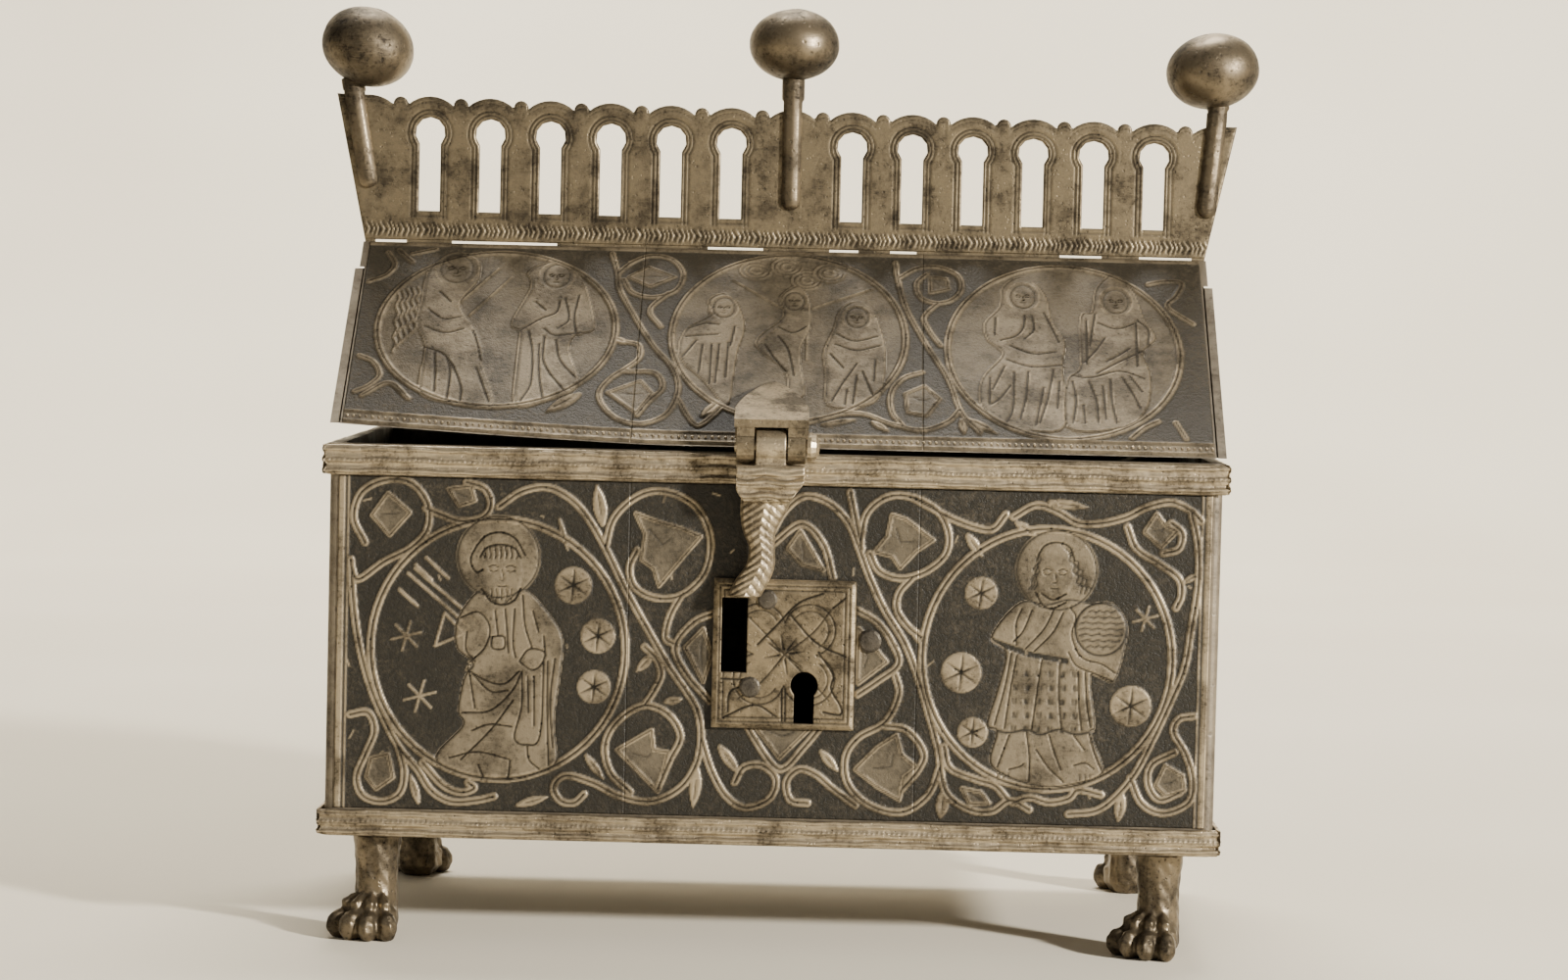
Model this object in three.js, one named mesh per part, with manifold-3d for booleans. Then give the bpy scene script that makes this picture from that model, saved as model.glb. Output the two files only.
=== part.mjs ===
// A small reliquary casket of enamelled and gilded copper: a box on four lion paws, a gabled lid with
// a pierced crest and three knobs, a lock plate, and a hasp that swings on the lid's front edge.
// Millimetres, +Z up. The front looks along -Y. The origin is under the middle of the whole outline.

import * as THREE from 'three';
import { mergeVertices } from 'three/addons/utils/BufferGeometryUtils.js';
import Module from 'manifold-3d';

const wasm = await Module();
wasm.setup();

// ---------------------------------------------------------------- driving sizes

const GAP = 0.3; // left between pieces that touch

const WIDTH = 160;
const DEPTH = 86;
const BOX_HEIGHT = 70.7;
const LEG = 19;
const WALL = 2;
const CORNER = 1.6; // rounding of the box's upright edges
const HALF_WIDTH = WIDTH / 2;
const HALF_DEPTH = DEPTH / 2;
const BOX_TOP = LEG + BOX_HEIGHT;
const PANEL_MIDDLE = LEG + BOX_HEIGHT / 2;
const FLOOR_INSET = 0.8; // floor plate's underside above the walls' lower edge

const MOULDING = { proud: 1.3, back: 0.45, reeds: 3 };
const TOP_MOULDING_HEIGHT = 5.75;
const BOTTOM_MOULDING_HEIGHT = 5.1;

const EAVE = BOX_TOP + 1.0; // lid's lower edge
const RIDGE = 126.1; // top of the roof plates, foot of the crest
const ROOF_HALF_RUN = HALF_DEPTH + 0.6;
const ROOF_THICKNESS = 1.8;
const ROOF_HALF_LENGTH = 79.6;
const GABLE_INNER_FACE = 78.9;
const GABLE_OUTER_FACE = 80.4;
const GABLE_THICKNESS = 3.6;
const GABLE_TOP = 121; // the outer part of a gable stops below the ridge
const CREST_THICKNESS = 1.2;
const RIDGE_HALF_SLOT = CREST_THICKNESS / 2 + GAP; // the crest stands between the two roof plates
const ROOF_PITCH = Math.atan2(RIDGE - EAVE, ROOF_HALF_RUN - RIDGE_HALF_SLOT);
const LIFT = 2.5; // the lid's front left corner is bent up by this much
const LIFT_START = -20; // x where the bend in the front edge begins

const CREST = { height: 26.6, root: 1.6, foot: 79.3, tips: [-85.1, 84.8], pitch: 11.4, middle: 1.0 };
const CREST_TAPER = 0.045; // the crest is this much taller at its left end and lower at its right
const KEYHOLES_EACH_SIDE = 6;
const CREST_KEYHOLE = { radius: 2.85, slot: 4.05, centre: 20, bottom: 5.8 };
const SCALLOP = { width: 8.7, rise: 1.7 };
const BUMP_RISE = 1.5;
const CREST_SLIT = { low: -0.3, high: 0.45 };
const CREST_SLITS = [[-77.5, -71.5], [-63, -43], [-14.5, -4], [8.5, 14], [20, 25], [52, 60], [67, 77]];

const STEM_RADIUS = 2.2;
const SOCKET = 1.2; // how far a stem runs into its knob
const STEMS = [
  { side: 'left', foot: [-78.6, 9.9], head: [-82.2, 29.8], knob: [17.9, 14.8], tilt: 21 },
  { side: 'middle', foot: [1.0, 7.5], head: [1.0, 32.0], knob: [17.3, 13.5], tilt: 0 },
  { side: 'right', foot: [79.3, 7.8], head: [81.1, 28.5], knob: [17.8, 14.6], tilt: -9 },
];

const FOOT_INSET = { x: 9, y: 6.8 }; // leg's centre from the box's edges
const PAW = { toes: 4, fan: 41, toeCentre: 6.7, toe: [2.15, 3.3, 2.9], toeHeight: 2.5 }; // fan in degrees
const TENDON = { centre: 4.3, radii: [1.55, 3.1, 3.0], height: 5.3 };
const PAW_TURNS = { front_left: -19, front_right: -33, back_right: 176, back_left: 184 };

const LOCK_PLATE = { left: -10.6, right: 14.9, low: -14.0, high: 12.8, thickness: 0.8 };
const LOCK_SLOT = { left: -9.1, right: -4.5, low: -4.0, high: 9.4 };
const LOCK_KEYHOLE = { x: 5.9, centre: -6.1, radius: 2.45, slot: 3.6, bottom: -13.0 };
const BEHIND_PLATE = 0.4; // holes in the front plate are wider than those in the lock plate
const SCREWS = [[-1.0, 9.2, 1.8], [17.5, 2.1, 2.1], [-3.8, -6.6, 1.9]];
const SCREW_HEIGHT = 0.7;

const HASP = { x: -0.9, width: 12.2, middle: 5.4, knuckle: 3.1, axisOut: 5.2, axisZ: BOX_TOP + 1.5 };
const HASP_PIN = 1.3;
const LEAF = { width: 13.2, reach: 20.2, flange: 1.4, tip: 0.7 };
const NECK = [ // height above the panel's middle, centre and width of the hasp's animal neck
  [28.4, -1.3, 9.6], [25.0, -2.1, 8.2], [21.6, -2.7, 6.0], [18.8, -2.2, 4.7],
  [15.8, -2.3, 5.2], [12.9, -3.7, 6.2], [9.9, -5.2, 6.0],
];
const NECK_THICKNESS = 4.4;

const STRAP = { x: 45, width: 14, middle: 5.4, knuckle: 2.4, thickness: 1.1, length: 27 };
const STRAP_AXIS = { y: HALF_DEPTH + 4.4, z: BOX_TOP + 1.5 };
const STRAP_PIN = 1.1;
// Where a strap steps out over the moulding.
const CRANK = { low: BOX_TOP - 8.1, high: BOX_TOP - 6.5, lag: 0.4 };

// ---------------------------------------------------------------- materials

function metal(color, roughness, metalness) {
  return new THREE.MeshStandardMaterial({ color, roughness, metalness });
}

const gilt = metal(0x9a8a6c, 0.42, 0.9);
const enamelled = metal(0x4b453c, 0.5, 0.35);
const roofing = metal(0x625948, 0.5, 0.5);
const iron = metal(0x55504a, 0.6, 0.8);

// ---------------------------------------------------------------- solids

const casket = new THREE.Group();
casket.name = 'reliquary_casket';

function solid(geometry) {
  const bare = geometry.clone();
  bare.deleteAttribute('normal');
  bare.deleteAttribute('uv');
  const merged = mergeVertices(bare, 1e-4);
  const index = merged.index.array;
  const kept = [];
  for (let i = 0; i < index.length; i += 3) {
    const [a, b, c] = [index[i], index[i + 1], index[i + 2]];
    if (a !== b && b !== c && c !== a) kept.push(a, b, c);
  }
  const vertProperties = new Float32Array(merged.attributes.position.array);
  return new wasm.Manifold(new wasm.Mesh({ numProp: 3, vertProperties, triVerts: new Uint32Array(kept) }));
}

function geometryOf(manifold) {
  const { vertProperties, triVerts } = manifold.getMesh();
  const geometry = new THREE.BufferGeometry();
  geometry.setAttribute('position', new THREE.BufferAttribute(new Float32Array(vertProperties), 3));
  geometry.setIndex(new THREE.BufferAttribute(new Uint32Array(triVerts), 1));
  geometry.computeVertexNormals();
  return geometry;
}

function add(name, manifold, material) {
  const piece = new THREE.Mesh(geometryOf(manifold), material);
  piece.name = name;
  casket.add(piece);
  return piece;
}

function union(solids) {
  return solids.reduce((joined, next) => joined.add(next));
}

const X = new THREE.Vector3(1, 0, 0);
const Y = new THREE.Vector3(0, 1, 0);
const Z = new THREE.Vector3(0, 0, 1);
const FORWARD = new THREE.Vector3(0, -1, 0);

const TOWARDS_X = new THREE.Matrix4().makeBasis(Y, Z, X); // outline (y, z), depth along +X
const TOWARDS_FRONT = new THREE.Matrix4().makeBasis(X, Z, FORWARD); // outline (x, z), depth along -Y
const UPWARDS = new THREE.Matrix4(); // outline (x, y), depth along +Z

function outline(points) {
  return new THREE.Shape(points.map(([a, b]) => new THREE.Vector2(a, b)));
}

// The shape as plain points, without the doubled ones where two curves meet.
function asPoints(shape, divisions) {
  const apart = (points) => points.filter((point, i) => point.distanceTo(points.at(i - 1)) > 1e-3);
  const { shape: contour, holes } = shape.extractPoints(divisions);
  const plain = new THREE.Shape(apart(contour));
  plain.holes = holes.map((hole) => new THREE.Path(apart(hole)));
  return plain;
}

// An outline extruded between two places on the axis that its plane faces.
function prism(shape, facing, from, to, divisions = 8) {
  const depth = to - from;
  const geometry = new THREE.ExtrudeGeometry(asPoints(shape, divisions), { depth, bevelEnabled: false });
  geometry.translate(0, 0, from);
  return solid(geometry.applyMatrix4(facing));
}

function block(x, y, z) {
  const geometry = new THREE.BoxGeometry(x[1] - x[0], y[1] - y[0], z[1] - z[0]);
  geometry.translate((x[0] + x[1]) / 2, (y[0] + y[1]) / 2, (z[0] + z[1]) / 2);
  return solid(geometry);
}

function turned(profile, sides) {
  const points = profile.map(([radius, height]) => new THREE.Vector2(radius, height));
  return solid(new THREE.LatheGeometry(points, sides).rotateX(Math.PI / 2));
}

function rod(radius, from, to, y, z, sides = 16) {
  const geometry = new THREE.CylinderGeometry(radius, radius, to - from, sides);
  geometry.rotateZ(Math.PI / 2).translate((from + to) / 2, y, z);
  return solid(geometry);
}

// A keyhole standing on its slot, as a closed path.
function keyholePath(x, base, { radius, slot, centre, bottom }, grow = 0) {
  const r = radius + grow;
  const half = slot / 2 + grow;
  const open = Math.asin(half / r);
  const path = new THREE.Path();
  path.moveTo(x - half, base + bottom - grow);
  path.lineTo(x + half, base + bottom - grow);
  path.absarc(x, base + centre, r, -Math.PI / 2 + open, 1.5 * Math.PI - open, false);
  path.closePath();
  return path;
}

function rectangle(left, right, low, high) {
  return [[left, low], [right, low], [right, high], [left, high]];
}

// A tongue with straight sides and an ogival point, standing on the line y = 0.
function pointedTongue(width, length) {
  const half = width / 2;
  const shoulder = length * 0.3;
  const shape = new THREE.Shape();
  shape.moveTo(-half, 0);
  shape.lineTo(half, 0);
  shape.lineTo(half, shoulder);
  shape.quadraticCurveTo(half * 0.75, length * 0.72, 0, length);
  shape.quadraticCurveTo(-half * 0.75, length * 0.72, -half, shoulder);
  shape.closePath();
  return shape;
}

// ---------------------------------------------------------------- box

function wallPlan(half) {
  const shape = new THREE.Shape();
  shape.moveTo(-half + CORNER, 0);
  shape.lineTo(half - CORNER, 0);
  shape.absarc(half - CORNER, CORNER, CORNER, -Math.PI / 2, 0, false);
  shape.lineTo(half, WALL);
  shape.lineTo(-half, WALL);
  shape.lineTo(-half, CORNER);
  shape.absarc(-half + CORNER, CORNER, CORNER, Math.PI, 1.5 * Math.PI, false);
  return shape;
}

function lockHoles(grow) {
  const { left, right, low, high } = LOCK_SLOT;
  const slot = outline(rectangle(left - grow, right + grow, low - grow, high + grow).map(
    ([x, z]) => [x, z + PANEL_MIDDLE],
  ));
  const keyholeEdge = keyholePath(LOCK_KEYHOLE.x, PANEL_MIDDLE, LOCK_KEYHOLE, grow);
  const keyhole = new THREE.Shape(keyholeEdge.getPoints(10));
  return union([slot, keyhole].map((shape) => prism(shape, TOWARDS_FRONT, HALF_DEPTH - 5, HALF_DEPTH + 5)));
}

function box() {
  const wall = prism(wallPlan(HALF_WIDTH), UPWARDS, LEG, BOX_TOP, 4).translate([0, -HALF_DEPTH, 0]);
  add('front_plate', wall.subtract(lockHoles(BEHIND_PLATE)), enamelled);
  add('back_plate', wall.rotate([0, 0, 180]), enamelled);

  const endReach = HALF_DEPTH - WALL - GAP;
  for (const [side, sign] of [['left', -1], ['right', 1]]) {
    const xs = [sign * HALF_WIDTH, sign * (HALF_WIDTH - WALL)].sort((a, b) => a - b);
    add(`${side}_end_plate`, block(xs, [-endReach, endReach], [LEG, BOX_TOP]), enamelled);
  }

  const floorX = HALF_WIDTH - WALL - GAP;
  const floorLow = LEG + FLOOR_INSET;
  add('floor_plate', block([-floorX, floorX], [-endReach, endReach], [floorLow, floorLow + WALL]), gilt);
}

// ---------------------------------------------------------------- mouldings

// Half-round reeds side by side on a flat back. d is the distance out from the wall.
function reededProfile(height) {
  const reed = height / MOULDING.reeds / 2;
  const bulge = MOULDING.proud - MOULDING.back;
  const shape = new THREE.Shape();
  shape.moveTo(GAP, 0);
  shape.lineTo(GAP + MOULDING.back, 0);
  for (let i = 0; i < MOULDING.reeds; i += 1) {
    const middle = reed * (2 * i + 1);
    shape.absellipse(GAP + MOULDING.back, middle, bulge, reed, -Math.PI / 2, Math.PI / 2, false, 0);
  }
  shape.lineTo(GAP, height);
  shape.closePath();
  return shape;
}

// One strip along a wall, its ends mitred for the corner.
function mouldingStrip(halfLength, out, low, height) {
  const geometry = new THREE.ExtrudeGeometry(reededProfile(height), {
    depth: 2, bevelEnabled: false, curveSegments: 3,
  });
  const place = geometry.attributes.position;
  for (let i = 0; i < place.count; i += 1) {
    const distance = place.getX(i);
    const end = place.getZ(i) > 1 ? -1 : 1;
    place.setXYZ(i, end * (halfLength + distance - GAP), -(out + distance), low + place.getY(i));
  }
  return solid(geometry);
}

function mouldings() {
  const rows = [
    ['top', BOX_TOP - TOP_MOULDING_HEIGHT, TOP_MOULDING_HEIGHT],
    ['bottom', LEG, BOTTOM_MOULDING_HEIGHT],
  ];
  for (const [row, low, height] of rows) {
    const long = mouldingStrip(HALF_WIDTH, HALF_DEPTH, low, height);
    const short = mouldingStrip(HALF_DEPTH, HALF_WIDTH, low, height);
    add(`${row}_moulding_front`, long, gilt);
    add(`${row}_moulding_right`, short.rotate([0, 0, 90]), gilt);
    add(`${row}_moulding_back`, long.rotate([0, 0, 180]), gilt);
    add(`${row}_moulding_left`, short.rotate([0, 0, -90]), gilt);
  }
}

// ---------------------------------------------------------------- feet

function ellipsoid(centre, radii, turn = 0, sides = 8) {
  const geometry = new THREE.SphereGeometry(1, sides, sides - 3);
  geometry.rotateX(Math.PI / 2).scale(...radii).rotateZ(turn).translate(...centre);
  return solid(geometry);
}

// A lion's paw that points along -Y: toes fanned round a flared leg, flat on z = 0.
function paw() {
  const legTop = LEG - GAP;
  const leg = turned([
    [0, 2], [3.6, 2], [4.0, 5], [3.9, 9], [3.95, 12], [4.2, 15], [4.5, 17.4], [4.6, legTop], [0, legTop],
  ], 12);
  const pieces = [leg, ellipsoid([0, -1.6, 3.4], [5.2, 5.6, 4.4])];
  const middleToe = (PAW.toes - 1) / 2;
  for (let i = 0; i < PAW.toes; i += 1) {
    const turn = THREE.MathUtils.degToRad(PAW.fan) * ((i - middleToe) / middleToe);
    const along = (distance, z) => [Math.sin(turn) * distance, -Math.cos(turn) * distance, z];
    pieces.push(ellipsoid(along(PAW.toeCentre, PAW.toeHeight), PAW.toe, turn));
    pieces.push(ellipsoid(along(TENDON.centre, TENDON.height), TENDON.radii, turn, 6));
  }
  const reach = 20;
  return union(pieces).subtract(block([-reach, reach], [-reach, reach], [-reach, 0]));
}

function feet() {
  const one = paw();
  for (const [place, turn] of Object.entries(PAW_TURNS)) {
    const x = (HALF_WIDTH - FOOT_INSET.x) * (place.endsWith('left') ? -1 : 1);
    const y = (HALF_DEPTH - FOOT_INSET.y) * (place.startsWith('front') ? -1 : 1);
    add(`${place}_paw`, one.rotate([0, 0, turn]).translate([x, y, 0]), gilt);
  }
}

// ---------------------------------------------------------------- lock

function lock() {
  const plateBack = HALF_DEPTH + GAP;
  const plateFront = plateBack + LOCK_PLATE.thickness;
  const { left, right, low, high } = LOCK_PLATE;
  const shape = outline(rectangle(left, right, low + PANEL_MIDDLE, high + PANEL_MIDDLE));
  const plate = prism(shape, TOWARDS_FRONT, plateBack, plateFront);
  add('lock_plate', plate.subtract(lockHoles(0)), gilt);

  SCREWS.forEach(([x, z, radius], i) => {
    const onPlate = x < right;
    const seat = (onPlate ? plateFront : HALF_DEPTH) + GAP;
    const shoulder = [radius * 0.8, SCREW_HEIGHT * 0.85];
    const dome = [[0, 0], [radius, 0], [radius, 0.3], shoulder, [0, SCREW_HEIGHT]];
    const head = turned(dome, 14).rotate([90, 0, 0]).translate([x, -seat, z + PANEL_MIDDLE]);
    add(`lock_screw_${i + 1}`, head, iron);
  });
}

// ---------------------------------------------------------------- lid

const PITCH_RISE = Math.tan(ROOF_PITCH);
const ROOF_DROP = ROOF_THICKNESS / Math.cos(ROOF_PITCH); // roof's thickness measured straight down

function roofTop(y) {
  return EAVE + (ROOF_HALF_RUN - Math.abs(y)) * PITCH_RISE;
}

function roofWidthAt(z, below) {
  return ROOF_HALF_RUN - (z + below - EAVE) / PITCH_RISE;
}

function liftAt(x) {
  const along = Math.max(0, (x - LIFT_START) / (-HALF_WIDTH - LIFT_START));
  return LIFT * along ** 1.3;
}

function roofPlate() {
  const slope = outline([
    [-ROOF_HALF_RUN, EAVE],
    [-RIDGE_HALF_SLOT, RIDGE],
    [-RIDGE_HALF_SLOT, RIDGE - ROOF_DROP],
    [-roofWidthAt(EAVE, ROOF_DROP), EAVE],
  ].reverse());
  const notchInner = GABLE_INNER_FACE - GAP;
  const notchTop = GABLE_TOP + GAP;
  const beyond = HALF_WIDTH + 5;
  const plate = prism(slope, TOWARDS_X, -ROOF_HALF_LENGTH, ROOF_HALF_LENGTH);
  return plate
    .subtract(block([notchInner, beyond], [-beyond, 0], [LEG, notchTop]))
    .subtract(block([-beyond, -notchInner], [-beyond, 0], [LEG, notchTop]));
}

function liftedEdge() {
  const steps = 12;
  const below = EAVE - 5;
  const points = [[LIFT_START, below]];
  for (let i = 0; i <= steps; i += 1) {
    const x = LIFT_START + (-HALF_WIDTH - LIFT_START) * (i / steps);
    points.push([x, EAVE + liftAt(x) - (i === 0 ? 0.01 : 0)]);
  }
  points.push([-HALF_WIDTH - 5, EAVE + LIFT], [-HALF_WIDTH - 5, below]);
  return prism(outline(points), TOWARDS_FRONT, 20, 60);
}

// A gable closes the lid's end. Its inner part fits between the roof plates, its outer part covers
// their ends.
function gable(sign) {
  const lift = sign < 0 ? LIFT : 0;
  const inset = GAP / Math.cos(ROOF_PITCH);
  const foot = (below) => [
    [-roofWidthAt(EAVE + lift, below), EAVE + lift],
    [roofWidthAt(EAVE, below), EAVE],
  ];
  const innerBelow = ROOF_DROP + inset;
  const innerTop = roofTop(GAP) - innerBelow;
  const inner = outline([
    ...foot(innerBelow),
    [roofWidthAt(innerTop, innerBelow), innerTop],
    [-roofWidthAt(innerTop, innerBelow), innerTop],
  ]);
  const outer = outline([
    ...foot(0),
    [roofWidthAt(GABLE_TOP, 0), GABLE_TOP],
    [-roofWidthAt(GABLE_TOP, 0), GABLE_TOP],
  ]);
  const between = (from, to) => (sign > 0 ? [from, to] : [-to, -from]);
  const innerFrom = GABLE_OUTER_FACE - GABLE_THICKNESS;
  const innerPart = prism(inner, TOWARDS_X, ...between(innerFrom, GABLE_INNER_FACE + 0.2));
  return innerPart.add(prism(outer, TOWARDS_X, ...between(GABLE_INNER_FACE, GABLE_OUTER_FACE)));
}

function lid() {
  const plate = roofPlate();
  add('front_roof_plate', plate.subtract(liftedEdge()), roofing);
  add('back_roof_plate', plate.rotate([0, 0, 180]), roofing);
  add('left_gable', gable(-1), roofing);
  add('right_gable', gable(1), roofing);
}

// ---------------------------------------------------------------- crest

// Adds one arch of the scalloped top, from its right foot to its left.
function arch(shape, x, top, width, rise) {
  const radius = (width * width / 4 + rise * rise) / (2 * rise);
  const start = Math.asin((radius - rise) / radius);
  shape.absarc(x, top - radius, radius, start, Math.PI - start, false);
}

// Above the ridge, heights shrink from the crest's left end to its right.
function taper(place) {
  if (place[2] > RIDGE) place[2] = RIDGE + (place[2] - RIDGE) * (1 - (CREST_TAPER * place[0]) / HALF_WIDTH);
}

function crest() {
  const shape = new THREE.Shape();
  const { height, root, foot, tips, pitch, middle } = CREST;
  shape.moveTo(-foot, RIDGE - root);
  shape.lineTo(foot, RIDGE - root);
  shape.lineTo(foot, RIDGE);
  const top = RIDGE + height;
  const bumpWidth = pitch - SCALLOP.width;
  shape.lineTo(tips[1], top);
  shape.lineTo(middle + (KEYHOLES_EACH_SIDE + 1) * pitch - SCALLOP.width / 2, top - SCALLOP.rise);
  for (let j = KEYHOLES_EACH_SIDE; j >= -KEYHOLES_EACH_SIDE; j -= 1) {
    const x = middle + j * pitch;
    arch(shape, x + pitch / 2, top - (SCALLOP.rise - BUMP_RISE), bumpWidth, BUMP_RISE);
    arch(shape, x, top, SCALLOP.width, SCALLOP.rise);
  }
  const lastBump = middle - (KEYHOLES_EACH_SIDE + 0.5) * pitch;
  arch(shape, lastBump, top - (SCALLOP.rise - BUMP_RISE), bumpWidth, BUMP_RISE);
  shape.lineTo(tips[0], top);
  shape.lineTo(-foot, RIDGE);
  shape.closePath();

  for (let k = 1; k <= KEYHOLES_EACH_SIDE; k += 1) {
    for (const side of [-1, 1]) {
      shape.holes.push(keyholePath(middle + side * k * pitch, RIDGE, CREST_KEYHOLE));
    }
  }
  const slitHeights = [RIDGE + CREST_SLIT.low, RIDGE + CREST_SLIT.high];
  const through = [-CREST_THICKNESS, CREST_THICKNESS];
  const slits = union(CREST_SLITS.map((ends) => block(ends, through, slitHeights)));
  const plate = prism(shape, TOWARDS_FRONT, -CREST_THICKNESS / 2, CREST_THICKNESS / 2, 4);
  add('crest', plate.subtract(slits).warp(taper), gilt);
}

// ---------------------------------------------------------------- stems and knobs

function leanOf({ foot, head }) {
  return Math.atan2(head[0] - foot[0], head[1] - foot[1]);
}

// A round rod with a rounded foot, leaning as the crest's end does. Its head runs on into the knob.
function shaft(item, grow) {
  const length = Math.hypot(item.head[0] - item.foot[0], item.head[1] - item.foot[1]) + SOCKET + grow;
  const r = STEM_RADIUS + grow;
  const upright = turned([[0, 0], [r * 0.6, 0.25], [r * 0.88, 0.9], [r, 2], [r, length], [0, length]], 12);
  return upright
    .rotate([0, THREE.MathUtils.radToDeg(leanOf(item)), 0])
    .translate([item.foot[0], 0, RIDGE + item.foot[1]]);
}

// The shaft, slotted to straddle the crest.
function stem(item) {
  const half = CREST_THICKNESS / 2 + GAP;
  const slotTop = RIDGE + CREST.height * (1 + 1.2 * CREST_TAPER) + GAP;
  const slot = block([item.foot[0] - 12, item.foot[0] + 12], [-half, half], [RIDGE, slotTop]);
  return shaft(item, 0).subtract(slot);
}

// Two shallow domes that meet at a soft seam.
function knob([diameter, height]) {
  const r = diameter / 2;
  const h = height / 2;
  const seam = 0.2;
  const steps = 5;
  const dome = [];
  for (let i = 0; i < steps; i += 1) {
    const angle = (Math.PI / 2) * (i / steps);
    dome.push([(r - seam) * Math.cos(angle) ** 0.92, seam + (h - seam) * Math.sin(angle)]);
  }
  const upper = [[r, 0], ...dome, [0, h]];
  const lower = upper.slice(1).map(([radius, z]) => [radius, -z]).reverse();
  return turned([...lower, ...upper], 18);
}

function finials() {
  for (const item of STEMS) {
    add(`${item.side}_stem`, stem(item), gilt);
    const tilt = THREE.MathUtils.degToRad(item.tilt);
    const up = item.knob[1] / 2;
    const place = [item.head[0] + Math.sin(tilt) * up, 0, RIDGE + item.head[1] + Math.cos(tilt) * up];
    const body = knob(item.knob).rotate([0, item.tilt, 0]).translate(place);
    add(`${item.side}_knob`, body.subtract(shaft(item, GAP)), gilt);
  }
}

// ---------------------------------------------------------------- hasp

const HASP_AXIS_Y = -(HALF_DEPTH + HASP.axisOut);
const HASP_BORE = HASP_PIN + GAP;

function knuckle(from, to, axisY, axisZ, radius) {
  return rod(radius, from, to, axisY, axisZ, 18);
}

// The leaf is a wedge on the roof with an ogival point. A flange at its foot carries the two outer
// knuckles.
function haspLeaf() {
  const { x, width, middle, knuckle: radius, axisZ } = HASP;
  const flangeFront = HASP_AXIS_Y - radius + 0.3;
  const flangeLow = axisZ + radius + GAP;
  const flangeTop = flangeLow + LEAF.flange;
  const tipY = flangeFront + LEAF.reach;
  const behind = HASP_AXIS_Y + radius + GAP;
  const offRoof = GAP / Math.cos(ROOF_PITCH);
  const footZ = EAVE + 0.4;
  const side = outline([
    [flangeFront, flangeLow],
    [behind, flangeLow],
    [behind, footZ],
    [-ROOF_HALF_RUN - 0.1, footZ],
    [tipY, roofTop(tipY) + offRoof],
    [tipY, roofTop(tipY) + offRoof + LEAF.tip],
    [flangeFront, flangeTop],
  ]);
  const plan = prism(pointedTongue(LEAF.width, LEAF.reach), UPWARDS, 0, 40).translate([x, flangeFront, 80]);
  const wedge = prism(side, TOWARDS_X, -20, 20).intersect(plan);
  const pieces = [wedge];
  const outerWidth = (width - middle) / 2 - GAP;
  for (const sign of [-1, 1]) {
    const outer = x + sign * (width / 2);
    const inner = outer - sign * outerWidth;
    const [from, to] = [Math.min(outer, inner), Math.max(outer, inner)];
    pieces.push(knuckle(from, to, HASP_AXIS_Y, axisZ, radius));
    const web = [HASP_AXIS_Y - radius + 0.6, HASP_AXIS_Y + radius];
    pieces.push(block([from, to], web, [axisZ, flangeLow + 0.5]));
  }
  return union(pieces).subtract(rod(HASP_BORE, x - 20, x + 20, HASP_AXIS_Y, axisZ, 14));
}

// Oval rings down the beast's neck, from the block to its end, each with its back near the lock plate.
function neckRings(back) {
  const stations = NECK.map(([z, centre, width]) => new THREE.Vector3(centre, width, z + PANEL_MIDDLE));
  const ringSides = 12;
  const deep = NECK_THICKNESS / 2;
  return new THREE.CatmullRomCurve3(stations).getPoints(16).map(({ x, y: width, z }) => {
    const ring = [];
    for (let i = 0; i < ringSides; i += 1) {
      const angle = (2 * Math.PI * i) / ringSides;
      ring.push([x + (width / 2) * Math.cos(angle), back - deep + deep * Math.sin(angle), z]);
    }
    return ring;
  });
}

// A closed skin over rings that all have the same number of points, listed from the top down.
function loft(rings) {
  const sides = rings[0].length;
  const last = (rings.length - 1) * sides;
  const index = [];
  for (let i = 0; i + 1 < rings.length; i += 1) {
    for (let j = 0; j < sides; j += 1) {
      const next = (j + 1) % sides;
      const [a, b] = [i * sides + j, i * sides + next];
      index.push(a, a + sides, b, b, a + sides, b + sides);
    }
  }
  for (let j = 1; j + 1 < sides; j += 1) {
    index.push(0, j, j + 1, last, last + j + 1, last + j);
  }
  const geometry = new THREE.BufferGeometry();
  geometry.setAttribute('position', new THREE.Float32BufferAttribute(rings.flat(2), 3));
  geometry.setIndex(index);
  return solid(geometry);
}

// A reeded block under the middle knuckle, running into the neck of a scaly beast.
function hasp() {
  const { x, width, middle, knuckle: radius, axisZ } = HASP;
  const back = -(HALF_DEPTH + 2.6);
  const top = axisZ - radius - GAP;
  const blockLow = PANEL_MIDDLE + 27;
  const front = HASP_AXIS_Y - 2.4;
  const profile = new THREE.Shape();
  profile.moveTo(back, top);
  profile.lineTo(front, top);
  const reeds = 3;
  const reed = (top - blockLow) / reeds;
  const bulge = [0.5, 1.0, 0.7];
  for (let i = 0; i < reeds; i += 1) {
    const crown = [front - bulge[i] * 2, top - reed * (i + 0.5)];
    profile.quadraticCurveTo(...crown, front - 0.3, top - reed * (i + 1));
  }
  profile.lineTo(back, blockLow);
  profile.closePath();
  const left = x - width / 2;
  const right = x + width / 2;
  const face = outline([
    [right, top],
    [right, blockLow + 3.6],
    [right - 2.6, blockLow],
    [left + 1.4, blockLow],
    [left, blockLow + 2],
    [left, top],
  ]);
  const reeded = prism(profile, TOWARDS_X, left, right, 4).intersect(prism(face, TOWARDS_FRONT, 40, 60));

  const neck = loft(neckRings(back));

  const half = middle / 2;
  const hub = knuckle(x - half, x + half, HASP_AXIS_Y, axisZ, radius);
  const web = block([x - half, x + half], [HASP_AXIS_Y - 2.2, HASP_AXIS_Y + 2.4], [top - 0.5, axisZ]);
  return union([reeded, neck, hub, web]).subtract(rod(HASP_BORE, x - 20, x + 20, HASP_AXIS_Y, axisZ, 14));
}

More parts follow.
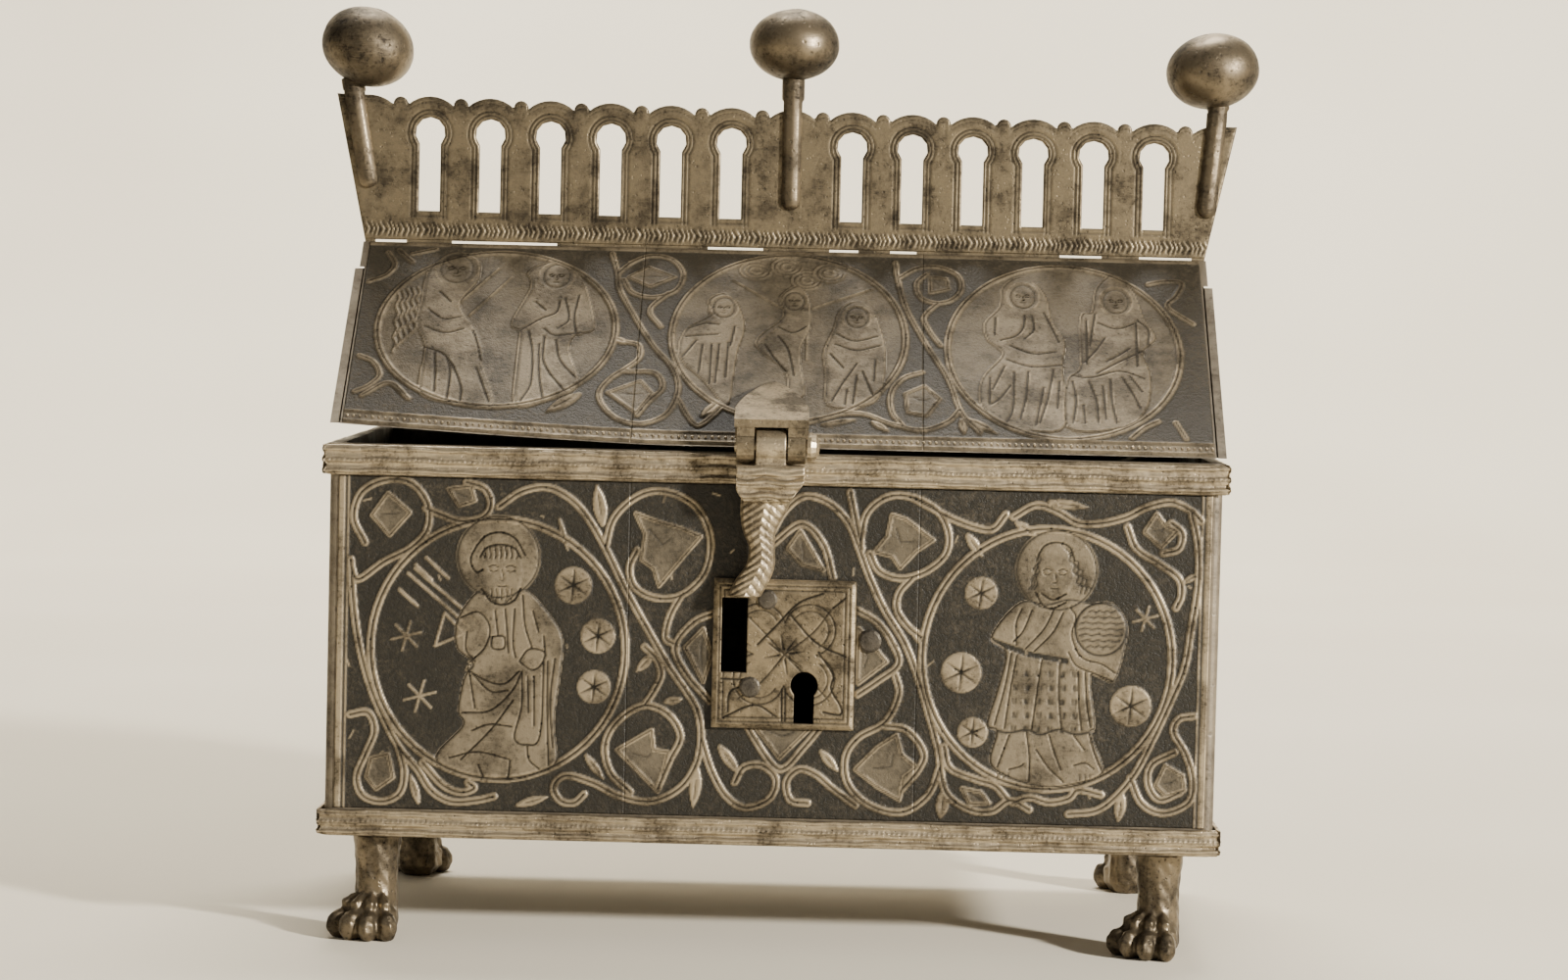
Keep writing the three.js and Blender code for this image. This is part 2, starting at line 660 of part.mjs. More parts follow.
function haspPin() {
  const { x, width, axisZ } = HASP;
  const right = x + width / 2;
  const shank = rod(HASP_PIN, x - width / 2 - 0.4, right + 0.8, HASP_AXIS_Y, axisZ, 12);
  const head = turned([[0, 0], [2.5, 0], [2.6, 0.7], [2.2, 1.6], [1.3, 2.1], [0, 2.2]], 16);
  return shank.add(head.rotate([0, 90, 0]).translate([right + GAP, HASP_AXIS_Y, axisZ]));
}

// ---------------------------------------------------------------- strap hinges at the back

function strapBore(x) {
  return rod(STRAP_PIN + GAP, x - 20, x + 20, STRAP_AXIS.y, STRAP_AXIS.z, 14);
}

// The box's leaf lies on the back, cranks out over the moulding and ends in two knuckles.
function boxStrap(x) {
  const { width, middle, knuckle: radius, thickness } = STRAP;
  const inner = HALF_DEPTH + GAP;
  const over = HALF_DEPTH + GAP + MOULDING.proud + GAP;
  const low = STRAP_AXIS.z - radius - 2 * GAP - STRAP.length;
  const high = STRAP_AXIS.z - radius - 2 * GAP;
  const side = outline([
    [inner, low],
    [inner + thickness, low],
    [inner + thickness, CRANK.low],
    [over + thickness, CRANK.high],
    [over + thickness, high],
    [over, high],
    [over, CRANK.high + CRANK.lag],
    [inner, CRANK.low + CRANK.lag],
  ]);
  const face = new THREE.Shape(pointedTongue(width, STRAP.length).getPoints(5).map(
    (point) => new THREE.Vector2(x - point.x, high - point.y),
  ));
  const leaf = prism(side, TOWARDS_X, x - width, x + width);
  const pieces = [leaf.intersect(prism(face, TOWARDS_FRONT, -70, -30))];
  const outerWidth = (width - middle) / 2 - GAP;
  for (const sign of [-1, 1]) {
    const outer = x + (sign * width) / 2;
    const [from, to] = [outer, outer - sign * outerWidth].sort((a, b) => a - b);
    pieces.push(knuckle(from, to, STRAP_AXIS.y, STRAP_AXIS.z, radius));
    pieces.push(block([from, to], [over, over + thickness], [high - 1, STRAP_AXIS.z]));
  }
  return union(pieces).subtract(strapBore(x));
}

// The lid's leaf lies on the back slope and reaches down to the middle knuckle.
function lidStrap(x) {
  const { width, middle, knuckle: radius, thickness, length } = STRAP;
  const cos = Math.cos(ROOF_PITCH);
  const sin = Math.sin(ROOF_PITCH);
  const at = (along, out) => [ROOF_HALF_RUN - along * cos + out * sin, EAVE + along * sin + out * cos];
  const face = GAP + thickness;
  const side = outline([at(0.4, GAP), at(0.4, face), at(length, face), at(length, GAP)]);
  const plan = new THREE.Shape(pointedTongue(width, length * cos).getPoints(5).map(
    (point) => new THREE.Vector2(x - point.x, ROOF_HALF_RUN + 0.6 - point.y),
  ));
  const slab = prism(side, TOWARDS_X, x - width, x + width);
  const leaf = slab.intersect(prism(plan, UPWARDS, EAVE - 5, RIDGE));
  const half = middle / 2;
  const tongue = outline([
    at(0.5, GAP + 0.05),
    [STRAP_AXIS.y - 1, STRAP_AXIS.z - 0.2],
    [STRAP_AXIS.y, STRAP_AXIS.z + radius - 0.1],
    at(1.6, face - 0.05),
    at(1.6, GAP + 0.05),
  ]);
  const pieces = [leaf, prism(tongue, TOWARDS_X, x - half, x + half)];
  pieces.push(knuckle(x - half, x + half, STRAP_AXIS.y, STRAP_AXIS.z, radius));
  return union(pieces).subtract(strapBore(x));
}

function strapPin(x) {
  const half = STRAP.width / 2;
  const shank = rod(STRAP_PIN, x - half - 0.9, x + half + 0.9, STRAP_AXIS.y, STRAP_AXIS.z, 12);
  const heads = [-1, 1].map((sign) => {
    const head = turned([[0, 0], [1.8, 0], [1.7, 0.5], [1.0, 1.0], [0, 1.1]], 12);
    return head.rotate([0, 90 * sign, 0]).translate([x + sign * (half + GAP), STRAP_AXIS.y, STRAP_AXIS.z]);
  });
  return union([shank, ...heads]);
}

function hinges() {
  add('hasp_leaf', haspLeaf(), gilt);
  add('hasp', hasp(), gilt);
  add('hasp_pin', haspPin(), iron);
  for (const [side, sign] of [['left', -1], ['right', 1]]) {
    const x = sign * STRAP.x;
    add(`${side}_hinge_box_strap`, boxStrap(x), gilt);
    add(`${side}_hinge_lid_strap`, lidStrap(x), gilt);
    add(`${side}_hinge_pin`, strapPin(x), iron);
  }
}

// ---------------------------------------------------------------- the casket

box();
mouldings();
feet();
lock();
lid();
crest();
finials();
hinges();

const bounds = new THREE.Box3().setFromObject(casket);
casket.position.set(-(bounds.min.x + bounds.max.x) / 2, -(bounds.min.y + bounds.max.y) / 2, 0);

export default casket;
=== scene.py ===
import math

import bmesh
import bpy
import numpy as np
from mathutils import Matrix, Vector


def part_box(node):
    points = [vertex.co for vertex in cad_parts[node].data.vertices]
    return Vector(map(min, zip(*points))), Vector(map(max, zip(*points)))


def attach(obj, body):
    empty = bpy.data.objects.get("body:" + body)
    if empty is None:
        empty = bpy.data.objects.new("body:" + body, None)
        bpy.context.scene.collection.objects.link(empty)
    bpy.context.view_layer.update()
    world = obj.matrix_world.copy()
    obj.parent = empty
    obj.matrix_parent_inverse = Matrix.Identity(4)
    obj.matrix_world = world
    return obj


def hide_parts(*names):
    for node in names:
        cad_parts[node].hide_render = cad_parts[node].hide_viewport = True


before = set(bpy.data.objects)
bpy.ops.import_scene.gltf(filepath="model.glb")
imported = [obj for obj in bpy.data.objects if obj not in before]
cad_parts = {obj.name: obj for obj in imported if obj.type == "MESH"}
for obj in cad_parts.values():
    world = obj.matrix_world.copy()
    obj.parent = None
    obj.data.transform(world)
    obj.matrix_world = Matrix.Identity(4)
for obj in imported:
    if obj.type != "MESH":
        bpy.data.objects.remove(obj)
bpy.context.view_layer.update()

# ---------------------------------------------------------------- sizes, in millimetres


def extent(node):
    low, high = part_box(node)
    return np.array(low) * 1000, np.array(high) * 1000


FRONT_PLATE = extent("front_plate")
BACK_PLATE = extent("back_plate")
ROOF = extent("front_roof_plate")
LOCK_PLATE = extent("lock_plate")

MIDDLE = np.array([
    (FRONT_PLATE[0][0] + FRONT_PLATE[1][0]) / 2,
    (FRONT_PLATE[0][1] + BACK_PLATE[1][1]) / 2,
    0,
])
HALF_WIDTH = (FRONT_PLATE[1][0] - FRONT_PLATE[0][0]) / 2
HALF_DEPTH = (BACK_PLATE[1][1] - FRONT_PLATE[0][1]) / 2
BOX_FOOT = FRONT_PLATE[0][2]
BOX_TOP = FRONT_PLATE[1][2]
PANEL_MIDDLE = (BOX_FOOT + BOX_TOP) / 2

EAVE = ROOF[0][2]
RIDGE = ROOF[1][2]
ROOF_HALF_RUN = MIDDLE[1] - ROOF[0][1]
ROOF_PITCH = math.atan2(RIDGE - EAVE, ROOF_HALF_RUN - (MIDDLE[1] - ROOF[1][1]))
SLOPE_LENGTH = (RIDGE - EAVE) / math.sin(ROOF_PITCH)
LIFT = 2.5
LIFT_START = -20

CREST_HALF = 0.6
CREST_HEIGHT = 26.6
CREST_FOOT = 79.3
CREST_LEFT_TIP = 85.1
CREST_RIGHT_TIP = 84.8
CREST_TAPER = 0.045
CREST_MIDDLE = 1.0
CREST_PITCH = 11.4
KEYHOLE_CENTRE = 20
KEYHOLE_RADIUS = 2.85
KEYHOLE_SLOT = 4.05
KEYHOLE_FOOT = 5.8

# ---------------------------------------------------------------- paint


def tone(red, green, blue):
    """A colour on the 0 to 255 scale, as a linear one."""
    parts = [value / 255 for value in (red, green, blue)]
    return tuple(p / 12.92 if p < 0.04 else ((p + 0.055) / 1.055) ** 2.4 for p in parts) + (1,)


def put(tree, kind, inputs=None, **settings):
    """Adds a node, with its sockets set to values or joined to other sockets."""
    node = tree.nodes.new(kind)
    for key, value in settings.items():
        setattr(node, key, value)
    for key, value in (inputs or {}).items():
        if isinstance(value, bpy.types.NodeSocket):
            tree.links.new(value, node.inputs[key])
        else:
            node.inputs[key].default_value = value
    return node


def calc(tree, operation, *values, clamp=False):
    node = put(tree, "ShaderNodeMath", dict(enumerate(values)), operation=operation, use_clamp=clamp)
    return node.outputs[0]


def blend(tree, amount, first, second):
    node = tree.nodes.new("ShaderNodeMix")
    node.data_type = "RGBA"
    sockets = [s for s in node.inputs if s.type == "RGBA"]
    for socket, value in [(node.inputs[0], amount), (sockets[0], first), (sockets[1], second)]:
        if isinstance(value, bpy.types.NodeSocket):
            tree.links.new(value, socket)
        else:
            socket.default_value = value
    return next(s for s in node.outputs if s.type == "RGBA")


def between(tree, value, low, high, to_low=0.0, to_high=1.0):
    """Value stretched from low..high to to_low..to_high, with soft ends."""
    inputs = {"Value": value, "From Min": low, "From Max": high, "To Min": to_low, "To Max": to_high}
    node = put(tree, "ShaderNodeMapRange", inputs, interpolation_type="SMOOTHSTEP")
    return node.outputs["Result"]


def shader_group(name, inputs, outputs):
    tree = bpy.data.node_groups.new(name, "ShaderNodeTree")
    for label, kind, value in inputs:
        socket = tree.interface.new_socket(name=label, in_out="INPUT", socket_type=kind)
        socket.default_value = value
    for label, kind in outputs:
        tree.interface.new_socket(name=label, in_out="OUTPUT", socket_type=kind)
    return tree, tree.nodes.new("NodeGroupInput").outputs, tree.nodes.new("NodeGroupOutput").inputs


def noise(tree, scale, detail=4.0, roughness=0.6, stretch=(1, 1, 1)):
    where = put(tree, "ShaderNodeTexCoord").outputs["Object"]
    where = put(tree, "ShaderNodeMapping", {"Vector": where, "Scale": stretch}).outputs[0]
    inputs = {"Vector": where, "Scale": scale, "Detail": detail, "Roughness": roughness}
    return put(tree, "ShaderNodeTexNoise", inputs).outputs["Fac"]


COLOUR, VALUE = "NodeSocketColor", "NodeSocketFloat"
SKIN = [("Colour", COLOUR), ("Roughness", VALUE), ("Height", VALUE)]


def make_worn_metal():
    """Gilt copper: blotchy gold over brown metal, pits dark with grime, fine scratches, and painted shade in
    what is cut, both darkened toward one grime-and-shade colour.
    """
    tree, given, result = shader_group("worn metal", [
        ("Bright", COLOUR, (0.5, 0.4, 0.3, 1)),
        ("Dull", COLOUR, (0.2, 0.16, 0.12, 1)),
        ("Grime and shade", COLOUR, (0.03, 0.026, 0.02, 1)),
        ("Polish", VALUE, 0.5),
        ("Scale", VALUE, 120.0),
        ("Cut", VALUE, 0.0),
        ("Pits", VALUE, 0.5),
    ], SKIN)
    scale = given["Scale"]
    blotch = noise(tree, scale, 6.0, 0.65)
    fine = noise(tree, calc(tree, "MULTIPLY", scale, 11.0), 4.0, 0.7)
    scratch = noise(tree, calc(tree, "MULTIPLY", scale, 5.0), 3.0, 0.6, (1, 1, 9))
    where = put(tree, "ShaderNodeTexCoord").outputs["Object"]
    cells = put(tree, "ShaderNodeTexVoronoi", {"Vector": where, "Scale": calc(tree, "MULTIPLY", scale, 8.0)})
    pit = between(tree, cells.outputs["Distance"], 0.34, 0.12)
    pit = calc(tree, "MULTIPLY", pit, between(tree, fine, 0.42, 0.62))
    pit = calc(tree, "MULTIPLY", pit, given["Pits"])
    gold = calc(tree, "ADD", between(tree, blotch, 0.34, 0.66), calc(tree, "MULTIPLY", given["Polish"], 0.5))
    gold = calc(tree, "SUBTRACT", gold, between(tree, fine, 0.45, 0.75, 0.0, 0.45), clamp=True)
    body = blend(tree, gold, given["Dull"], given["Bright"])
    body = blend(tree, between(tree, scratch, 0.55, 0.7, 0.0, 0.35), body, given["Bright"])
    # Painted shade: cut lines and grooves are darkened almost fully to the grime-and-shade colour; pits
    # darken toward it as grime.
    grime_and_shade = calc(
        tree, "ADD", calc(tree, "MULTIPLY", given["Cut"], 0.97), calc(tree, "MULTIPLY", pit, 0.7),
        clamp=True,
    )
    tree.links.new(blend(tree, grime_and_shade, body, given["Grime and shade"]), result["Colour"])
    rough = calc(tree, "SUBTRACT", 0.62, calc(tree, "MULTIPLY", gold, 0.26))
    rough = calc(tree, "ADD", rough, calc(tree, "MULTIPLY", grime_and_shade, 0.25), clamp=True)
    tree.links.new(rough, result["Roughness"])
    height = calc(tree, "ADD", calc(tree, "MULTIPLY", fine, 0.35), calc(tree, "MULTIPLY", scratch, 0.25))
    height = calc(tree, "ADD", height, calc(tree, "MULTIPLY", blotch, 0.5))
    tree.links.new(calc(tree, "SUBTRACT", height, pit), result["Height"])
    return tree


def make_old_enamel():
    """Dark glass fired into the copper: dull, speckled with pits and rubbed pale in patches."""
    tree, given, result = shader_group("old enamel", [
        ("Glass", COLOUR, (0.05, 0.048, 0.042, 1)),
        ("Rubbed", COLOUR, (0.16, 0.145, 0.12, 1)),
        ("Scale", VALUE, 120.0),
        ("Wear", VALUE, 0.5),
    ], SKIN)
    scale = given["Scale"]
    patch = noise(tree, calc(tree, "MULTIPLY", scale, 0.55), 5.0, 0.6)
    speck = noise(tree, calc(tree, "MULTIPLY", scale, 13.0), 3.0, 0.75)
    grain = noise(tree, calc(tree, "MULTIPLY", scale, 5.0), 4.0, 0.7)
    worn = calc(tree, "MULTIPLY", between(tree, patch, 0.3, 0.7), given["Wear"])
    chips = calc(tree, "MULTIPLY", between(tree, speck, 0.5, 0.72), calc(tree, "ADD", worn, 0.18))
    chips = calc(
        tree, "ADD", chips, calc(tree, "MULTIPLY", between(tree, grain, 0.42, 0.75), worn), clamp=True,
    )
    tree.links.new(blend(tree, chips, given["Glass"], given["Rubbed"]), result["Colour"])
    tree.links.new(between(tree, chips, 0.0, 1.0, 0.38, 0.7), result["Roughness"])
    pits = calc(tree, "MULTIPLY", between(tree, speck, 0.3, 0.6), 0.6)
    tree.links.new(calc(tree, "ADD", pits, calc(tree, "MULTIPLY", grain, 0.7)), result["Height"])
    return tree


WORN_METAL = make_worn_metal()
OLD_ENAMEL = make_old_enamel()


def material(name):
    made = bpy.data.materials.new(name)
    made.use_nodes = True
    made.node_tree.nodes.clear()
    tree = made.node_tree
    shader = put(tree, "ShaderNodeBsdfPrincipled")
    output = put(tree, "ShaderNodeOutputMaterial")
    tree.links.new(shader.outputs[0], output.inputs["Surface"])
    return made, tree, shader


def placed_group(tree, group, inputs):
    node = tree.nodes.new("ShaderNodeGroup")
    node.node_tree = group
    for key, value in inputs.items():
        if isinstance(value, bpy.types.NodeSocket):
            tree.links.new(value, node.inputs[key])
        else:
            node.inputs[key].default_value = value
    return node.outputs


def mask(tree, name):
    node = put(tree, "ShaderNodeAttribute")
    node.attribute_type = "GEOMETRY"
    node.attribute_name = name
    return node.outputs["Fac"]


def bump(tree, shader, height, depth, strength=1.0):
    inputs = {"Height": height, "Distance": depth, "Strength": strength}
    tree.links.new(put(tree, "ShaderNodeBump", inputs).outputs[0], shader.inputs["Normal"])


def metal_material(
    name, bright, dull, grime_and_shade_colour, polish=0.5, scale=120.0, pits=0.5, cut=False, metallic=0.85, depth=0.00008,
):
    made, tree, shader = material(name)
    inputs = {"Bright": bright, "Dull": dull, "Grime and shade": grime_and_shade_colour, "Polish": polish, "Scale": scale, "Pits": pits}
    if cut:
        inputs["Cut"] = mask(tree, "cut")
    out = placed_group(tree, WORN_METAL, inputs)
    tree.links.new(out["Colour"], shader.inputs["Base Color"])
    tree.links.new(out["Roughness"], shader.inputs["Roughness"])
    shader.inputs["Metallic"].default_value = metallic
    bump(tree, shader, out["Height"], depth)
    return made


def champleve_material(name, gilt, glass, metallic=0.7, depth=0.00008):
    """Bare metal where the sheet says metal, enamel elsewhere."""
    made, tree, shader = material(name)
    shader.inputs["Specular IOR Level"].default_value = 0.25
    bare = mask(tree, "metal")
    copper = placed_group(tree, WORN_METAL, {**gilt, "Cut": mask(tree, "cut")})
    enamel = placed_group(tree, OLD_ENAMEL, glass)
    tree.links.new(blend(tree, bare, enamel["Colour"], copper["Colour"]), shader.inputs["Base Color"])
    share = calc(tree, "SUBTRACT", 1.0, bare)
    rough = calc(
        tree, "ADD", calc(tree, "MULTIPLY", copper["Roughness"], bare),
        calc(tree, "MULTIPLY", enamel["Roughness"], share),
    )
    tree.links.new(rough, shader.inputs["Roughness"])
    tree.links.new(calc(tree, "MULTIPLY", bare, metallic), shader.inputs["Metallic"])
    height = calc(
        tree, "ADD", calc(tree, "MULTIPLY", copper["Height"], bare),
        calc(tree, "MULTIPLY", enamel["Height"], share),
    )
    bump(tree, shader, height, depth)
    return made


# The third colour of each set is grime in pits and painted shade in cut lines and grooves.
GILT = {"Bright": tone(164, 150, 125), "Dull": tone(72, 64, 51), "Grime and shade": tone(22, 20, 16)}
PALE_GILT = {"Bright": tone(182, 167, 140), "Dull": tone(84, 74, 59), "Grime and shade": tone(44, 39, 32)}
BRONZE = {"Bright": tone(120, 108, 88), "Dull": tone(42, 37, 30), "Grime and shade": tone(30, 27, 23)}

front_enamel = champleve_material(
    "front enamel",
    {**GILT, "Polish": 0.45, "Scale": 110.0, "Pits": 0.5},
    {"Glass": tone(34, 32, 27), "Rubbed": tone(70, 63, 51), "Scale": 110.0, "Wear": 0.55},
)
roof_enamel = champleve_material(
    "roof enamel",
    {
        "Bright": tone(146, 132, 108), "Dull": tone(70, 62, 49), "Grime and shade": tone(22, 20, 16), "Polish": 0.3,
        "Scale": 120.0, "Pits": 0.6,
    },
    {"Glass": tone(46, 42, 34), "Rubbed": tone(74, 66, 53), "Scale": 120.0, "Wear": 0.7},
)
plain_enamel = champleve_material(
    "end enamel",
    {**GILT, "Polish": 0.3, "Scale": 110.0, "Pits": 0.5},
    {"Glass": tone(50, 48, 43), "Rubbed": tone(104, 96, 83), "Scale": 110.0, "Wear": 0.6},
)
crest_gilt = metal_material(
    "crest gilt", tone(138, 125, 101), tone(60, 53, 42), tone(24, 21, 17), 0.2, 140.0, 0.5, cut=True,
)
moulding_gilt = metal_material(
    "moulding gilt", PALE_GILT["Bright"], PALE_GILT["Dull"], PALE_GILT["Grime and shade"], 0.45, 150.0, 0.6,
    cut=True,
)
lock_gilt = metal_material(
    "lock plate gilt", tone(148, 134, 109), tone(62, 55, 43), tone(22, 20, 16), 0.2, 160.0, 0.7, cut=True,
)
hasp_gilt = metal_material(
    "hasp gilt", PALE_GILT["Bright"], PALE_GILT["Dull"], PALE_GILT["Grime and shade"], 0.6, 200.0, 0.5, cut=True,
)
knob_bronze = metal_material("knob bronze", BRONZE["Bright"], BRONZE["Dull"], BRONZE["Grime and shade"], 0.4, 90.0, 0.7)
paw_bronze = metal_material("paw bronze", BRONZE["Bright"], BRONZE["Dull"], BRONZE["Grime and shade"], 0.5, 140.0, 0.9)
plate_copper = metal_material(
    "bare copper", tone(126, 116, 99), tone(80, 72, 60), tone(34, 30, 25), 0.2, 70.0, 0.5, metallic=0.5,
)
inside_copper = metal_material(
    "inside copper", tone(104, 94, 79), tone(62, 55, 46), tone(26, 23, 19), 0.1, 60.0, 0.4, metallic=0.4,
)
iron = metal_material(
    "dark iron", tone(96, 90, 80), tone(52, 48, 42), tone(22, 20, 18), 0.2, 220.0, 1.0, metallic=0.8,
)

# ---------------------------------------------------------------- curves


def curve(points, steps=8, closed=False):
    """A smooth line through a few points."""
    p = np.asarray(points, float)
    if closed:
        p = np.vstack([p[-1:], p, p[:2]])
    else:
        p = np.vstack([2 * p[:1] - p[1:2], p, 2 * p[-1:] - p[-2:-1]])
    t = np.linspace(0, 1, steps, endpoint=False)[:, None]
    runs = []
    for a, b, c, d in zip(p[:-3], p[1:-2], p[2:-1], p[3:]):
        square, cube = 2 * a - 5 * b + 4 * c - d, 3 * b - a - 3 * c + d
        runs.append(0.5 * (2 * b + (c - a) * t + square * t ** 2 + cube * t ** 3))
    line = np.vstack(runs)
    return np.vstack([line, line[:1] if closed else p[-2:-1]])


def ellipse(centre, across, up, start=0, end=360, steps=48):
    angle = np.radians(np.linspace(start, end, steps + 1))
    return np.column_stack([centre[0] + across * np.cos(angle), centre[1] + up * np.sin(angle)])


def straight(*points):
    return np.asarray(points, float)


def soften(values):
    return values * values * (3 - 2 * values)


# ---------------------------------------------------------------- relief sheets


class Relief:
    """Heights over a flat face, in millimetres, with masks for bare metal and for what is cut into it."""

    def __init__(self, left, right, low, high, step):
        self.step = step
        self.across = np.linspace(left, right, round((right - left) / step) + 1)
        self.up = np.linspace(low, high, round((high - low) / step) + 1)
        self.u, self.v = np.meshgrid(self.across, self.up)
        self.rise = np.zeros_like(self.u)
        self.metal = np.zeros_like(self.u)
        self.cut = np.zeros_like(self.u)
        self.inside = np.full_like(self.u, 9.0)

    def window(self, low_u, high_u, low_v, high_v):
        first, last = np.searchsorted(self.across, [low_u, high_u])
        bottom, top = np.searchsorted(self.up, [low_v, high_v])
        return slice(bottom, top), slice(first, last)

    def gap(self, line, half=0.0, margin=0.8):
        """The part of the sheet near a line, and how far each place there is from the line's edge."""
        line = np.asarray(line, float)
        half = np.broadcast_to(half, len(line)).astype(float)
        room = half.max() + margin
        part = self.window(
            line[:, 0].min() - room, line[:, 0].max() + room, line[:, 1].min() - room,
            line[:, 1].max() + room,
        )
        rows, columns = part
        nearest = np.full((max(rows.stop - rows.start, 0), max(columns.stop - columns.start, 0)), 9.0)
        if not nearest.size:
            return part, nearest
        for a, b, at_a, at_b in zip(line[:-1], line[1:], half[:-1], half[1:]):
            low, high = np.minimum(a, b) - room, np.maximum(a, b) + room
            near = self.window(low[0], high[0], low[1], high[1])
            u, v = self.u[near], self.v[near]
            if not u.size:
                continue
            run = b - a
            t = np.clip(((u - a[0]) * run[0] + (v - a[1]) * run[1]) / max(run @ run, 1e-9), 0, 1)
            away = np.hypot(u - a[0] - t * run[0], v - a[1] - t * run[1]) - at_a - t * (at_b - at_a)
            inner = (
                slice(near[0].start - rows.start, near[0].stop - rows.start),
                slice(near[1].start - columns.start, near[1].stop - columns.start),
            )
            nearest[inner] = np.minimum(nearest[inner], away)
        return part, nearest

    def filled(self, outline, margin=0.8):
        """The part round a closed outline, and the distance outside it, negative within."""
        outline = np.asarray(outline, float)
        closed = np.vstack([outline, outline[:1]])
        part, away = self.gap(closed, 0.0, margin)
        u, v = self.u[part], self.v[part]
        within = np.zeros(u.shape, bool)
        for a, b in zip(closed[:-1], closed[1:]):
            crosses = (a[1] > v) != (b[1] > v)
            at = a[0] + (v - a[1]) * (b[0] - a[0]) / (b[1] - a[1] if b[1] != a[1] else 1e-9)
            within ^= crosses & (u < at)
        return part, np.where(within, -np.minimum(np.abs(away), 9), np.abs(away))

    def raise_metal(self, part, away, rise, soft=0.22, shine=1.0):
        share = soften(np.clip(0.5 - away / soft, 0, 1))
        self.metal[part] = np.maximum(self.metal[part], shine * share)
        self.rise[part] = np.maximum(self.rise[part], rise * share)

    def lay(self, line, width, rise=0.28):
        """A strip of bare metal along a line. The width may change along it."""
        self.raise_metal(*self.gap(line, np.asarray(width, float) / 2), rise)

    def plate(self, outline, rise=0.22, shine=0.5):
        """A flat of metal. Shine under 1 leaves some old glass and grime over it."""
        self.raise_metal(*self.filled(outline), rise, shine=shine)

    def engrave(self, line, width=0.32, depth=1.0):
        # The cut mask sinks the line and, through the metal finishes, paints shade in it.
        part, away = self.gap(line, np.asarray(width, float) / 2)
        share = np.clip(0.5 - away / 0.26, 0, 1) * depth
        self.cut[part] = np.maximum(self.cut[part], share)

    def sink(self, outline):
        """Enamel again, inside an outline on metal."""
        part, away = self.filled(outline)
        share = soften(np.clip(0.5 - away / 0.22, 0, 1))
        self.metal[part] *= 1 - share
        self.rise[part] *= 1 - share

    def double_band(self, line, width=1.5, rise=0.3):
        """A strip of metal with a groove down its middle."""
        self.lay(line, width, rise)
        self.engrave(line, width * 0.26)

    def drop(self, distance):
        """The sheet ends where distance is below zero."""
        self.inside = np.minimum(self.inside, distance)


def grid_mesh(name, sheet, to_place, lift, depth, flip, columns):
    """One piece of a relief sheet as a mesh, with a skirt down to the face it lies on."""
    u, v, inside = (field[:, columns].copy() for field in (sheet.u, sheet.v, sheet.inside))
    slope_v, slope_u = np.gradient(sheet.inside, sheet.up, sheet.across)
    slope_u, slope_v = slope_u[:, columns], slope_v[:, columns]
    size = np.maximum(np.hypot(slope_u, slope_v), 1e-6)
    edge = np.abs(inside) < 0.72 * sheet.step
    move = np.where(edge, inside / size, 0)
    u -= move * slope_u / size
    v -= move * slope_v / size
    inside[edge] = 0
    out = lift + sheet.rise[:, columns] - depth * sheet.cut[:, columns]
    rows, count = u.shape
    number = np.arange(rows * count).reshape(rows, count)
    quads = np.stack([number[:-1, :-1], number[:-1, 1:], number[1:, 1:], number[1:, :-1]], -1).reshape(-1, 4)
    keep = (inside.ravel()[quads].min(1) >= 0) & (inside.ravel()[quads].max(1) > 0)
    quads = quads[keep]
    used, quads = np.unique(quads, return_inverse=True)
    quads = quads.reshape(-1, 4)
    flat_u, flat_v, flat_out = u.ravel()[used], v.ravel()[used], out.ravel()[used]
    edges = np.concatenate([quads[:, [i, (i + 1) % 4]] for i in range(4)])
    ordered = np.sort(edges, 1)
    _, first, times = np.unique(
        ordered[:, 0] * len(used) + ordered[:, 1], return_index=True, return_counts=True,
    )
    rim = edges[first[times == 1]]
    rim_points, rim_index = np.unique(rim, return_inverse=True)
    rim_index = rim_index.reshape(-1, 2) + len(used)
    skirt = np.column_stack([rim[:, 1], rim[:, 0], rim_index[:, 0], rim_index[:, 1]])
    places = np.vstack([
        to_place(flat_u, flat_v, flat_out),
        to_place(flat_u[rim_points], flat_v[rim_points], np.full(len(rim_points), -0.04)),
    ])
    faces = np.vstack([quads, skirt])
    if flip:
        faces = faces[:, ::-1]
    masks = {}
    for key, field in (("metal", sheet.metal), ("cut", sheet.cut)):
        flat = field[:, columns].ravel()[used]
        masks[key] = np.concatenate([flat, flat[rim_points]])
    return mesh_from(name, places, faces, masks)


def mesh_from(name, places, quads, masks=None):
    """A mesh of four-sided faces. Places are in millimetres from the middle of the casket."""
    mesh = bpy.data.meshes.new(name)
    quads = np.asarray(quads, np.int32)
    mesh.vertices.add(len(places))
    mesh.vertices.foreach_set("co", ((np.asarray(places) + MIDDLE) / 1000).astype(np.float32).ravel())
    mesh.loops.add(quads.size)
    mesh.loops.foreach_set("vertex_index", quads.ravel())
    mesh.polygons.add(len(quads))
    mesh.polygons.foreach_set("loop_start", np.arange(0, quads.size, 4, dtype=np.int32))
    mesh.polygons.foreach_set("use_smooth", np.ones(len(quads), bool))
    mesh.update(calc_edges=True)
    for key, values in (masks or {}).items():
        layer = mesh.attributes.new(key, "FLOAT", "POINT")
        layer.data.foreach_set("value", np.asarray(values, np.float32))
    mesh.validate()
    return mesh


def piece(name, mesh, finish, body, replaces=()):
    obj = bpy.data.objects.new(name, mesh)
    bpy.context.scene.collection.objects.link(obj)
    mesh.materials.clear()
    mesh.materials.append(finish)
    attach(obj, body)
    if replaces:
        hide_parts(*replaces)
    return obj


